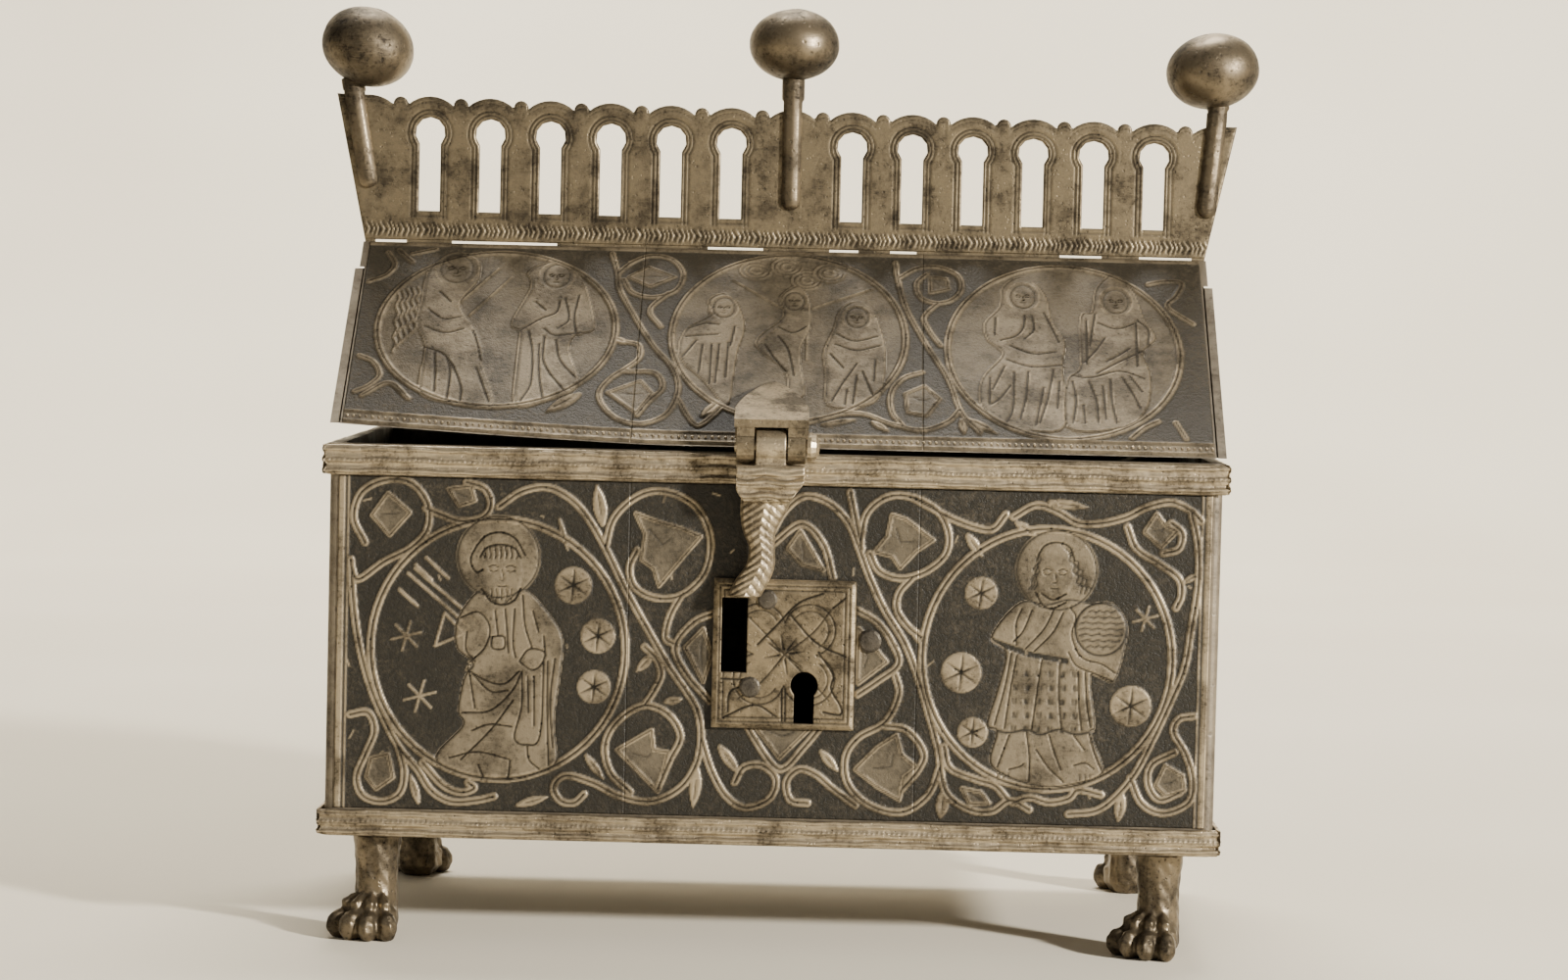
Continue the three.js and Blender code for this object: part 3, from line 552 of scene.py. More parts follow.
def sheet_pieces(
    name, sheet, to_place, finish, body, lift=0.06, depth=0.16, parts=1, flip=False,
):
    ends = np.linspace(0, len(sheet.across) - 1, parts + 1).round().astype(int)
    for i, (start, stop) in enumerate(zip(ends[:-1], ends[1:])):
        label = name if parts == 1 else f"{name}_{i + 1}"
        mesh = grid_mesh(label, sheet, to_place, lift, depth, flip, slice(start, stop + 1))
        piece(label, mesh, finish, body)

# ---------------------------------------------------------------- ornament


def vine(sheet, points, width=1.35, steps=8):
    sheet.double_band(curve(points, steps), width)


def roundel(sheet, centre, across, up, width=1.3):
    sheet.double_band(ellipse(centre, across, up, steps=64), width)


def leaf(sheet, points):
    """A pointed leaf inside a loop: a thin raised outline round rubbed metal, with a vein."""
    outline = straight(*points, points[0])
    sheet.plate(outline, 0.12, 0.26)
    sheet.lay(outline, 0.75, 0.3)
    middle = outline[:-1].mean(0)
    sheet.engrave(outline, 0.22)
    sheet.engrave(
        straight(middle + 0.5 * (outline[0] - middle), middle, middle + 0.4 * (outline[2] - middle)), 0.2,
    )


def bud(sheet, foot, tip, width):
    foot, tip = np.asarray(foot, float), np.asarray(tip, float)
    line = np.linspace(foot, tip, 9)
    swell = width * np.sin(np.linspace(0.12, 1, 9) * math.pi) + 0.12
    sheet.lay(line, swell, 0.3)
    sheet.engrave(np.linspace(foot, tip, 5)[1:4], 0.2)


def star(sheet, centre, radius):
    disc = ellipse(centre, radius, radius, steps=28)
    sheet.plate(disc, 0.2, 0.9)
    for turn in range(6):
        angle = math.radians(60 * turn + 25)
        tip = (centre[0] + 0.88 * radius * math.cos(angle), centre[1] + 0.88 * radius * math.sin(angle))
        sheet.engrave(straight(centre, tip), [0.55, 0.12])


def cuts(sheet, lines, width=0.3):
    """Engraved strokes, each smooth through its points."""
    for line in lines:
        stroke = curve(line, 6)
        sheet.lay(stroke, 1.5 * width + 0.3, 0.27)
        sheet.engrave(stroke, 1.5 * width)


def halo(sheet, centre, radius, width=0.3):
    sheet.plate(ellipse(centre, radius, radius), 0.18)
    sheet.engrave(ellipse(centre, radius * 0.96, radius * 0.96), width)


def calm_face(sheet, centre, half_width, half_height, turn=0.15):
    """A plain face on school proportions: brows, closed-looking eyes, nose and mouth."""
    x, y = centre
    lean = turn * half_width
    for side in (-1, 1):
        at = x + lean + side * 0.42 * half_width
        brow = [
            (at - 0.24 * half_width, y + 0.12 * half_height), (at, y + 0.2 * half_height),
            (at + 0.24 * half_width, y + 0.12 * half_height),
        ]
        eye = [(at - 0.2 * half_width, y), (at, y - 0.06 * half_height), (at + 0.2 * half_width, y)]
        cuts(sheet, [brow, eye], 0.2)
    at = x + lean
    nose = [
        (at, y + 0.02 * half_height), (at + 0.1 * half_width, y - 0.36 * half_height),
        (at - 0.12 * half_width, y - 0.38 * half_height),
    ]
    mouth = [
        (at - 0.24 * half_width, y - 0.6 * half_height), (at, y - 0.64 * half_height),
        (at + 0.24 * half_width, y - 0.6 * half_height),
    ]
    cuts(sheet, [nose], 0.18)
    cuts(sheet, [mouth], 0.2)


def waves(start, end, count, sway):
    """Points of a wavy line, for hair."""
    start, end = np.asarray(start, float), np.asarray(end, float)
    along = np.linspace(0, 1, count)[:, None]
    side = np.array([-(end - start)[1], (end - start)[0]]) / max(np.hypot(*(end - start)), 1e-6)
    turns = ((np.arange(count) % 2) * 2 - 1)[:, None]
    return start + along * (end - start) + sway * turns * side


# ---------------------------------------------------------------- front panel

PANEL_LOW = 24.1 - PANEL_MIDDLE
PANEL_HIGH = 83.95 - PANEL_MIDDLE


def saint_with_key(sheet):
    halo(sheet, (-49.4, 15.6), 7.6)
    cloak = curve([
        (-52.5, 9.5), (-56.4, 4.5), (-56.6, -0.8), (-53.6, -3.6), (-55.2, -6.5), (-56.1, -12.3),
        (-55.2, -14.9),
        (-59.9, -20.3), (-57.3, -22.9), (-51.9, -24.2), (-46.6, -24.5), (-42.2, -23.4), (-38.3, -21.0),
        (-38.9, -14.0), (-37.9, -5.0), (-37.6, 1.0), (-40.2, 5.6), (-44.8, 9.8), (-48.8, 7.0),
    ], 5, closed=True)
    sheet.plate(cloak, 0.22)
    sheet.engrave(cloak, 0.3)
    head = ellipse((-49.0, 13.0), 3.9, 5.6)
    sheet.plate(head, 0.26)
    cuts(sheet, [
        [(-52.7, 15.5), (-51.5, 17.2), (-49.0, 17.8), (-46.6, 17.2), (-45.4, 15.5)],
        [(-53.3, 17.6), (-51.6, 19.4), (-49.0, 20.0), (-46.4, 18.9), (-44.6, 16.0)],
        [(-53.3, 17.6), (-54.4, 15.0), (-53.4, 12.8), (-52.2, 13.2)],
        [(-52.3, 9.8), (-50.6, 7.6), (-48.4, 7.0), (-46.4, 7.9), (-45.3, 10.0)],
    ], 0.34)
    for i in range(7):
        x = -52.0 + i * 0.95
        cuts(sheet, [[(x, 17.5 - 0.1 * abs(i - 3)), (x + 0.25, 16.0), (x + 0.1, 15.3)]], 0.24)
    calm_face(sheet, (-48.9, 13.2), 3.6, 4.6, 0.05)
    for i in range(5):
        x = -50.6 + i * 0.9
        cuts(sheet, [[(x, 9.8), (x + 0.15, 8.6), (x, 7.9)]], 0.2)
    for side in (0, 1):
        start, end = ((-65.6, 12.3), (-54.4, 2.9)) if side else ((-64.4, 13.2), (-53.4, 4.2))
        sheet.lay(straight(start, end), 0.5, 0.24)
    for tooth in (
        [(-64.2, 13.8), (-61.4, 11.2)], [(-62.4, 15.2), (-58.3, 11.5)], [(-67.1, 9.3), (-63.8, 6.4)],
    ):
        sheet.lay(straight(*tooth), 0.55, 0.24)
    for stroke in (
        [(-58.9, 5.3), (-60.5, -0.7)], [(-58.9, 5.3), (-55.5, 1.9)], [(-60.5, -0.7), (-55.5, 1.5)],
    ):
        sheet.lay(straight(*stroke), 0.45, 0.24)
    cuts(sheet, [
        [(-56.0, 4.5), (-52.8, 5.6), (-50.7, 2.9), (-51.5, -0.7), (-54.1, -3.4)],
        [(-54.8, 2.0), (-54.9, -1.2), (-53.2, -3.3)],
        [(-54.4, -4.4), (-53.1, -11.7)],
        [(-54.6, -4.8), (-51.0, -6.8), (-47.9, -7.2), (-45.3, -4.9)],
        [(-53.6, -5.6), (-50.4, -8.6), (-47.2, -8.4)],
        [(-55.4, -12.6), (-50.4, -12.1), (-46.5, -8.5), (-44.8, -4.9)],
        [(-55.5, -21.1), (-50.3, -15.7), (-46.3, -10.2)],
        [(-57.5, -20.8), (-52.5, -19.6), (-46.8, -20.8)],
        [(-53.6, -15.8), (-50.5, -14.6), (-46.4, -14.9)],
        [(-44.8, -4.9), (-44.7, -11.1), (-45.9, -16.9), (-43.7, -18.1), (-41.3, -16.3), (-40.9, -3.0)],
        [(-42.6, -5.7), (-42.4, -14.6)],
        [(-43.7, -5.8), (-43.5, -12.3)],
        [(-45.3, -3.1), (-43.6, -0.9), (-40.9, -1.3), (-41.3, -3.5), (-43.0, -4.6), (-45.3, -3.1)],
        [(-44.9, 8.8), (-44.4, 3.5), (-43.0, -0.8)],
        [(-43.0, 6.0), (-41.9, 2.2)],
        [(-41.0, 1.6), (-40.6, -2.0)],
        [(-40.2, -3.0), (-40.1, -12.0), (-39.7, -21.6)],
        [(-38.9, -2.5), (-39.6, -10.1), (-39.0, -18.5)],
        [(-48.0, 6.2), (-47.6, 2.4), (-47.3, -1.6)],
        [(-49.8, 5.9), (-49.2, 1.5)],
        [(-46.3, 6.3), (-46.5, 0.5), (-46.0, -2.4)],
        [(-52.3, -22.0), (-51.4, -24.0)],
        [(-46.6, -21.0), (-46.9, -24.2)],
        [(-43.6, -18.4), (-43.2, -20.8), (-41.4, -22.4)],
        [(-50.3, 1.2), (-48.2, 1.3), (-48.1, -0.8), (-50.2, -0.8), (-50.3, 1.2)],
    ], 0.3)


def saint_with_disc(sheet):
    halo(sheet, (50.6, 15.6), 7.4)
    tunic = curve([
        (44.1, 9.6), (39.2, 3.4), (41.9, 0.6), (40.6, -6.0), (38.9, -12.4), (40.7, -13.6), (39.6, -19.2),
        (43.1, -21.8),
        (48.5, -23.2), (53.7, -22.9), (59.8, -20.4), (57.4, -13.6), (58.2, -12.0), (57.2, -3.0),
        (61.2, -4.2), (63.2, 2.5),
        (63.4, 6.5), (60.6, 10.0), (56.6, 9.8), (53.0, 10.4), (49.0, 9.4),
    ], 5, closed=True)
    sheet.plate(tunic, 0.24)
    sheet.engrave(tunic, 0.3)
    sheet.plate(ellipse((50.2, 15.2), 3.5, 5.0), 0.27)
    for i in range(3):
        sheet.engrave(waves((52.4 + 0.7 * i, 19.6 - 0.9 * i), (55.2 + 0.8 * i, 11.6), 9, 0.35), 0.28)
        sheet.engrave(waves((47.6 - 0.25 * i, 18.6 - 0.4 * i), (46.9 - 0.5 * i, 12.0), 7, 0.25), 0.26)
    cuts(sheet, [
        [(47.2, 18.2), (48.4, 20.0), (50.6, 20.6), (52.8, 19.8), (53.8, 17.4)],
        [(48.0, 11.4), (50.1, 10.3), (52.4, 11.4)],
        [(46.9, 11.6), (48.4, 9.2), (50.2, 8.8), (52.4, 9.9)],
    ], 0.32)
    calm_face(sheet, (50.3, 15.0), 3.3, 4.3, 0.0)
    sheet.engrave(ellipse((58.8, 5.2), 4.6, 4.7), 0.42)
    for i in range(7):
        height = 8.4 - 1.05 * i
        half = math.sqrt(max(4.0 ** 2 - (height - 5.2) ** 2, 0.3))
        sheet.engrave(waves((58.8 - half, height), (58.8 + half, height), 8, 0.16), 0.26)
    cuts(sheet, [
        [(53.1, 1.0), (54.6, -1.4), (58.0, -2.8), (61.1, -4.0)],
        [(54.2, 1.6), (56.0, -0.2), (59.0, -1.0), (61.6, -2.6)],
        [(55.0, 0.4), (53.6, 4.0), (54.3, 7.2), (53.2, 9.0)],
        [(44.6, 8.6), (43.6, 5.8), (43.8, 2.0)],
        [(46.4, 8.4), (44.9, 4.6), (43.2, 2.6)],
        [(50.5, 9.0), (48.6, 5.0), (45.4, 1.4)],
        [(52.0, 8.0), (50.2, 4.4), (47.0, 1.0)],
        [(42.9, 0.6), (41.9, -5.5), (40.2, -12.4)],
        [(43.9, 0.2), (42.9, -6.0), (42.0, -13.0)],
        [(48.4, -0.4), (47.6, -7.0), (46.9, -13.0)],
        [(51.6, -0.6), (51.6, -7.0), (52.2, -12.9)],
        [(55.0, -2.4), (55.2, -8.0), (55.8, -13.0)],
        [(56.2, -2.6), (56.6, -8.0), (57.4, -12.4)],
        [(40.9, -20.0), (42.9, -14.2)],
        [(46.0, -13.8), (46.6, -18.0), (46.6, -22.6)],
        [(47.8, -16.7), (50.0, -19.8), (52.8, -22.4)],
        [(50.0, -13.9), (51.0, -17.0), (52.3, -20.2)],
        [(57.2, -13.6), (58.2, -17.0), (59.6, -20.2)],
        [(54.4, -13.9), (56.4, -16.5)],
        [(43.0, -20.4), (45.0, -19.8), (45.6, -19.3)],
        [(54.6, -19.4), (56.6, -18.9), (58.2, -19.9)],
    ], 0.28)
    hem = [
        (39.4, -13.0), (42.4, -13.8), (46.0, -13.2), (48.4, -14.0), (51.7, -13.0), (54.6, -13.8),
        (58.0, -13.2),
    ]
    sheet.engrave(curve(hem, 8), 0.42)
    sheet.sink(straight((38.4, 3.5), (46.2, 0.9), (53.2, -0.2), (53.1, -1.2), (46.0, -0.1), (38.6, 2.3)))
    for row in range(5):
        for column in range(6):
            x, z = 43.6 + 2.15 * column + 0.2 * (row % 2), -2.6 - 2.5 * row
            for step in (-0.35, 0, 0.35):
                sheet.engrave(straight((x + step, z), (x + 0.7 * step, z - 0.9)), 0.24)
    for x in (40.9, 41.9, 42.9, 55.6, 56.6, 57.5):
        sheet.engrave(straight((x, -21.0), (x + 0.1, -22.0)), 0.2)


def draw_front_panel():
    sheet = Relief(-78.2, 78.2, PANEL_LOW, PANEL_HIGH, 0.25)
    for side in (-1, 1):
        sheet.lay(straight((side * 77.8, -31), (side * 77.8, 31)), 1.5, 0.2)
        sheet.lay(straight((side * 76.5, -31), (side * 76.5, 31)), 0.3, 0.2)
    roundel(sheet, (-49.2, -1.0), 22.9, 23.4, 1.45)
    roundel(sheet, (49.3, -0.4), 22.4, 23.4, 1.45)
    saint_with_key(sheet)
    saint_with_disc(sheet)
    for centre, radius in [
        ((-35.9, 10.8), 3.3), ((-31.3, 1.8), 3.1), ((-31.8, -7.4), 3.0), ((37.2, 11.2), 2.9),
        ((34.0, -3.2), 3.6), ((36.3, -13.9), 2.7), ((64.5, -8.5), 3.7),
    ]:
        star(sheet, centre, radius)
    for centre, radius in [((-65.7, 1.0), 2.7), ((-63.1, -9.8), 2.9), ((66.7, 7.3), 2.2)]:
        for turn in range(3):
            angle = math.radians(60 * turn + 15)
            reach = radius * np.array([math.cos(angle), math.sin(angle)])
            sheet.lay(straight(np.array(centre) - reach, np.array(centre) + reach), 0.4, 0.2)

    stems = [
        [
            (-49.5, 24.6), (-45.5, 27.4), (-41.0, 28.3), (-36.8, 26.4), (-33.5, 22.9), (-30.1, 17.3),
            (-26.2, 9.7), (-22.1, 2.7), (-18.4, -3.4), (-15.3, -7.7), (-13.2, -11.2), (-12.4, -15.6),
            (-13.2, -20.9), (-16.2, -25.4), (-21.4, -27.8), (-27.2, -26.8), (-31.6, -24.7),
            (-36.5, -23.5), (-38.7, -25.5), (-37.5, -28.0), (-35.0, -28.4), (-33.2, -26.8),
        ],
        [
            (-30.3, 17.8), (-28.9, 23.0), (-25.0, 26.9), (-20.5, 28.1), (-15.1, 26.2), (-12.2, 22.3),
            (-11.4, 18.0), (-12.7, 13.1), (-16.5, 9.5), (-20.9, 8.9), (-24.7, 10.6), (-25.9, 14.1),
            (-24.6, 17.4),
        ],
        [(-16.5, 9.5), (-18.4, 5.9), (-19.2, 1.9), (-17.6, 0.7)],
        [(-22.9, 0.1), (-20.7, -2.1), (-19.8, -4.9), (-21.0, -7.8), (-22.7, -10.5)],
        [
            (-20.0, -25.5), (-17.9, -20.2), (-16.1, -15.9), (-18.4, -12.0), (-22.7, -10.5),
            (-27.3, -13.3), (-29.6, -17.6), (-28.6, -22.6), (-24.9, -26.2),
        ],
        [
            (-75.9, 14.5), (-75.4, 7.6), (-74.4, 0.5), (-72.6, -6.5), (-70.2, -12.6), (-66.6, -19.2),
            (-63.4, -22.9), (-60.7, -26.8), (-57.1, -28.7), (-52.7, -28.4), (-49.4, -27.6),
        ],
        [
            (-66.8, -19.0), (-65.6, -23.6), (-66.4, -27.4), (-69.5, -29.0), (-73.0, -28.0),
            (-74.2, -24.7), (-72.7, -20.6), (-71.1, -16.2), (-72.4, -13.0), (-75.6, -13.4),
        ],
        [(-62.4, -21.8), (-58.7, -25.7), (-55.4, -27.0), (-53.0, -26.2), (-54.1, -25.2)],
        [
            (-75.9, 13.5), (-74.5, 11.0), (-70.0, 14.2), (-65.0, 17.0), (-62.2, 20.5), (-62.4, 25.0),
            (-65.5, 28.6), (-70.0, 28.9), (-74.2, 26.6), (-75.5, 22.0), (-73.4, 17.6),
        ],
        [
            (-62.6, 24.0), (-60.0, 23.0), (-56.5, 21.9), (-52.5, 22.6), (-51.0, 25.0), (-52.2, 27.8),
            (-55.4, 28.9),
        ],
        [(-11.0, -9.4), (-15.3, -4.6), (-17.4, 0.2), (-14.2, 4.7), (-9.9, 6.7)],
        [(15.1, 7.6), (18.7, 5.5), (21.4, 2.0), (22.7, -1.9), (19.0, -5.1), (15.5, -7.6)],
        [(-4.6, -12.7), (-2.7, -16.2), (1.8, -21.4), (6.1, -17.3), (9.9, -12.4)],
        [
            (-0.5, 21.2), (1.8, 25.2), (5.2, 27.8), (9.4, 26.8), (13.0, 23.4), (15.3, 18.2), (17.2, 13.4),
            (20.0, 7.7), (23.6, 2.1), (26.0, -3.6), (28.4, -11.0), (30.3, -17.6), (31.2, -23.4),
            (33.1, -26.2), (36.7, -28.0), (40.2, -28.0), (43.3, -26.0), (46.8, -27.6),
        ],
        [(-0.6, 18.8), (4.7, 22.8), (8.7, 19.3), (10.6, 13.3)],
        [
            (15.3, 19.2), (16.3, 24.8), (19.9, 28.0), (24.3, 28.1), (28.7, 26.0), (31.0, 22.1),
            (30.7, 18.1), (27.3, 14.9), (22.9, 13.5), (18.9, 14.7), (17.1, 17.8),
        ],
        [(24.3, 28.1), (28.0, 26.2), (31.0, 24.7), (35.4, 23.1), (38.9, 22.7), (41.2, 25.4)],
        [(13.3, 28.7), (14.3, 24.3), (15.6, 18.6)],
        [(24.7, 13.6), (22.5, 10.9), (22.2, 7.8), (24.4, 4.7), (26.7, 3.0)],
        [
            (22.2, -3.9), (22.9, -7.4), (20.6, -12.4), (15.9, -15.3), (13.6, -18.9), (14.2, -23.8),
            (18.2, -27.5), (24.0, -28.6), (28.6, -25.4), (30.7, -20.0),
        ],
        [(20.1, -13.0), (24.5, -13.8), (27.6, -17.7), (26.8, -20.8), (23.9, -24.4)],
        [
            (-12.4, -16.0), (-10.5, -21.7), (-7.8, -26.3), (-4.2, -28.5), (0.1, -26.8), (1.2, -23.2),
            (-1.3, -20.8), (-4.6, -21.2), (-6.2, -24.0),
        ],
        [(15.6, -27.6), (11.5, -24.7), (8.4, -22.2), (5.3, -21.3), (3.1, -23.6), (3.9, -26.9), (7.0, -27.4)],
        [
            (76.2, 25.0), (74.3, 26.8), (70.7, 28.3), (66.4, 27.3), (62.9, 25.5), (58.6, 24.3),
            (54.2, 24.2), (50.6, 26.1), (46.6, 27.2), (42.6, 25.0),
        ],
        [
            (74.3, 26.8), (75.7, 21.0), (76.0, 13.9), (75.0, 6.0), (74.0, -1.1), (71.7, -7.3),
            (68.4, -14.9), (65.5, -20.7), (62.1, -25.0), (58.7, -27.5), (53.8, -28.2),
        ],
        [(63.0, 23.7), (64.8, 19.8), (68.8, 17.3), (72.4, 14.7), (73.0, 11.7), (72.1, 9.4)],
        [(69.6, 19.1), (72.3, 20.0), (72.8, 22.8), (70.8, 24.6)],
        [
            (64.7, -21.4), (67.0, -26.0), (71.0, -27.6), (75.4, -25.5), (76.0, -21.3), (74.6, -16.9),
            (72.3, -13.0), (73.2, -10.6), (75.8, -10.0),
        ],
        [(72.6, -16.6), (68.6, -18.9), (68.0, -22.4), (70.1, -25.2), (73.8, -23.8)],
        [(31.2, -16.6), (32.4, -20.4), (37.0, -22.3), (40.5, -23.4), (43.0, -26.0)],
        [(43.8, -26.4), (46.8, -25.4), (50.3, -26.2), (53.8, -25.4), (55.5, -23.8), (59.6, -24.6)],
    ]
    for stem in stems:
        vine(sheet, stem)

    leaves = [
        [
            (-25.0, 24.0), (-20.8, 22.6), (-16.4, 21.4), (-13.2, 20.1), (-15.8, 17.0), (-20.5, 11.1),
            (-21.5, 14.2), (-23.7, 15.7), (-23.2, 20.4),
        ],
        [(-27.4, -18.6), (-21.3, -14.9), (-20.8, -18.5), (-18.3, -18.8), (-19.9, -26.0), (-23.8, -22.1)],
        [
            (20.9, 24.9), (23.5, 24.1), (28.4, 20.5), (25.4, 18.4), (22.6, 15.3), (21.1, 17.4),
            (18.0, 18.2), (20.2, 21.0),
        ],
        [
            (15.4, -21.1), (19.3, -17.0), (22.7, -14.7), (23.7, -18.2), (26.4, -20.4), (24.2, -22.2),
            (23.5, -26.4), (19.4, -24.1),
        ],
        [(66.1, 22.9), (68.2, 26.2), (70.0, 23.9), (71.9, 23.1), (69.2, 20.2)],
        [(69.4, -22.6), (71.0, -19.0), (74.2, -20.8), (74.6, -23.4), (71.2, -24.4)],
        [(-72.2, 22.6), (-69.4, 26.6), (-65.4, 23.2), (-69.0, 19.0)],
        [(-71.6, -21.2), (-68.6, -20.4), (-67.6, -24.6), (-70.6, -26.8), (-72.4, -24.6)],
        [(-58.6, 27.6), (-56.6, 24.6), (-53.8, 25.6), (-54.6, 28.2)],
        [(4.6, 21.6), (2.4, 18.4), (5.2, 15.6), (8.9, 14.6)],
        [(-3.0, -13.4), (1.8, -19.4), (7.6, -13.4)],
        [(-12.4, 3.6), (-15.6, 0.2), (-12.2, -6.0), (-10.8, -1.0)],
        [(15.4, 4.4), (20.6, -1.6), (15.6, -5.6)],
        [(34.6, -24.0), (38.0, -24.6), (39.6, -26.6), (36.2, -26.8)],
    ]
    for points in leaves:
        leaf(sheet, points)
    for foot, tip, width in [
        ((-30.9, 22.0), (-32.1, 29.0), 2.3), ((-18.9, -9.7), (-15.9, -9.2), 1.3),
        ((-63.0, -29.0), (-64.5, -24.0), 1.3),
        ((-33.0, -19.8), (-29.7, -24.0), 1.3), ((-12.9, -22.0), (-13.6, -28.8), 1.9),
        ((31.5, -24.8), (30.9, -29.6), 2.3),
        ((63.4, -24.6), (62.8, -29.4), 1.9), ((34.5, 21.5), (37.2, 17.8), 1.7),
        ((43.2, 24.0), (46.8, 21.6), 1.5),
        ((-38.6, 22.6), (-37.0, 17.0), 0.8), ((14.8, 22.0), (13.4, 28.0), 1.0),
        ((-45.0, -29.0), (-39.6, -27.4), 1.4),
        ((-9.0, -17.6), (-5.4, -22.4), 1.8), ((9.2, -18.0), (12.4, -21.6), 1.5),
        ((25.0, 4.6), (27.6, 1.2), 1.6),
        ((-21.6, -1.6), (-24.2, -4.4), 1.6), ((49.0, 27.8), (56.0, 27.0), 1.5),
        ((73.4, 14.0), (76.0, 15.6), 1.0),
    ]:
        bud(sheet, foot, tip, width)
    chance = np.random.default_rng(5)
    for _ in range(46):
        at = np.array([chance.uniform(-76, 76), chance.uniform(-29, 29)])
        if sheet.metal[np.searchsorted(sheet.up, at[1]), np.searchsorted(sheet.across, at[0])] > 0.1:
            continue
        angle = chance.uniform(0, math.pi)
        sheet.lay(
            straight(at, at + chance.uniform(0.5, 1.6) * np.array([math.cos(angle), math.sin(angle)])),
            0.24, 0.1,
        )
    low, high = LOCK_PLATE[0] - MIDDLE, LOCK_PLATE[1] - MIDDLE
    across = (sheet.u > low[0] - 0.2) & (sheet.u < high[0] + 0.2)
    up = (sheet.v > low[2] - PANEL_MIDDLE - 0.2) & (sheet.v < high[2] - PANEL_MIDDLE + 0.2)
    sheet.rise *= np.where(across & up, 0.0, 1.0)
    return sheet


def lock_holes(sheet, grow):
    """The sheet is open over the bolt's slot and the keyhole."""
    slot = np.maximum(np.abs(sheet.u + 6.8) - 2.3 - grow, np.abs(sheet.v - 2.7) - 6.7 - grow)
    ring = np.hypot(sheet.u - 5.9, sheet.v + 6.1) - 2.45 - grow
    foot = np.maximum(np.abs(sheet.u - 5.9) - 1.8 - grow, np.abs(sheet.v + 9.5) - 3.5 - grow)
    sheet.drop(np.minimum.reduce([slot, ring, foot]))


def on_front(u, v, out):
    return np.column_stack([u, -HALF_DEPTH - out, PANEL_MIDDLE + v])


front_sheet = draw_front_panel()
lock_holes(front_sheet, 0.45)
sheet_pieces("front_enamel_panel", front_sheet, on_front, front_enamel, "box", parts=3)

# ---------------------------------------------------------------- lock plate


def draw_lock_plate():
    low, high = LOCK_PLATE[0] - MIDDLE, LOCK_PLATE[1] - MIDDLE
    left, right = low[0] + 0.05, high[0] - 0.05
    bottom, top = low[2] - PANEL_MIDDLE + 0.05, high[2] - PANEL_MIDDLE - 0.05
    sheet = Relief(left, right, bottom, top, 0.17)
    sheet.metal[:] = 1
    edge = np.minimum.reduce([sheet.u - left, right - sheet.u, sheet.v - bottom, top - sheet.v])
    sheet.rise[:] = 0.34 * np.clip(edge / 0.7, 0, 1)
    for inset in (1.1, 1.9):
        corners = [
            (left + inset, bottom + inset), (right - inset, bottom + inset), (right - inset, top - inset),
            (left + inset, top - inset),
        ]
        sheet.engrave(straight(*corners, corners[0]), 0.22)
    middle = (2.2, -0.6)
    for turn in range(4):
        angle = math.radians(90 * turn + 45)
        lobe = (middle[0] + 6.3 * math.cos(angle), middle[1] + 6.3 * math.sin(angle))
        sheet.engrave(ellipse(lobe, 4.6, 4.6, 90 * turn - 75, 90 * turn + 165, 30), 0.26)
        sheet.engrave(ellipse(lobe, 3.4, 3.4, 90 * turn - 60, 90 * turn + 150, 30), 0.2)
        tip = (middle[0] + 11.5 * math.cos(angle), middle[1] + 11.5 * math.sin(angle))
        sheet.engrave(curve([middle, (lobe[0] + 0.6, lobe[1] - 0.4), tip], 8), 0.24)
    for turn in range(8):
        angle = math.radians(45 * turn + 10)
        reach = np.array([math.cos(angle), math.sin(angle)])
        sheet.engrave(straight(np.array(middle) + 1.0 * reach, np.array(middle) + 3.6 * reach), [0.42, 0.12])
    cuts(sheet, [
        [(3.3, 6.4), (7.8, 1.7), (13.2, -0.8)], [(-2.7, 1.0), (0.7, 4.6), (4.6, 8.7), (8.9, 10.5)],
        [(8.3, -0.1), (11.0, -4.0), (10.7, -6.6), (12.5, -9.7), (12.4, -11.2), (9.4, -10.8)],
        [(-7.7, -11.1), (-7.3, -7.5), (-3.9, -6.1)], [(-9.0, -5.2), (-4.3, -5.3)],
        [(1.9, -6.8), (2.0, -12.6)],
        [(2.5, -6.8), (2.6, -12.6)], [(10.7, 7.9), (13.0, 9.8)], [(-8.6, -12.2), (-3.0, -9.8), (1.0, -11.8)],
    ], 0.26)
    lock_holes(sheet, 0.0)
    return sheet


def on_lock(u, v, out):
    return np.column_stack([u, LOCK_PLATE[0][1] - MIDDLE[1] - out, PANEL_MIDDLE + v])


lock_sheet = draw_lock_plate()
sheet_pieces(
    "lock_plate_engraving", lock_sheet, on_lock, lock_gilt, "box", lift=0.0, depth=0.13,
)

# ---------------------------------------------------------------- roof


def lift_at(x):
    along = np.maximum(0, (x - LIFT_START) / (-HALF_WIDTH - LIFT_START))
    return LIFT * along ** 1.3


def on_slope(side, u, v, out):
    run = ROOF_HALF_RUN - v * math.cos(ROOF_PITCH) + out * math.sin(ROOF_PITCH)
    return np.column_stack([u, side * run, EAVE + v * math.sin(ROOF_PITCH) + out * math.cos(ROOF_PITCH)])


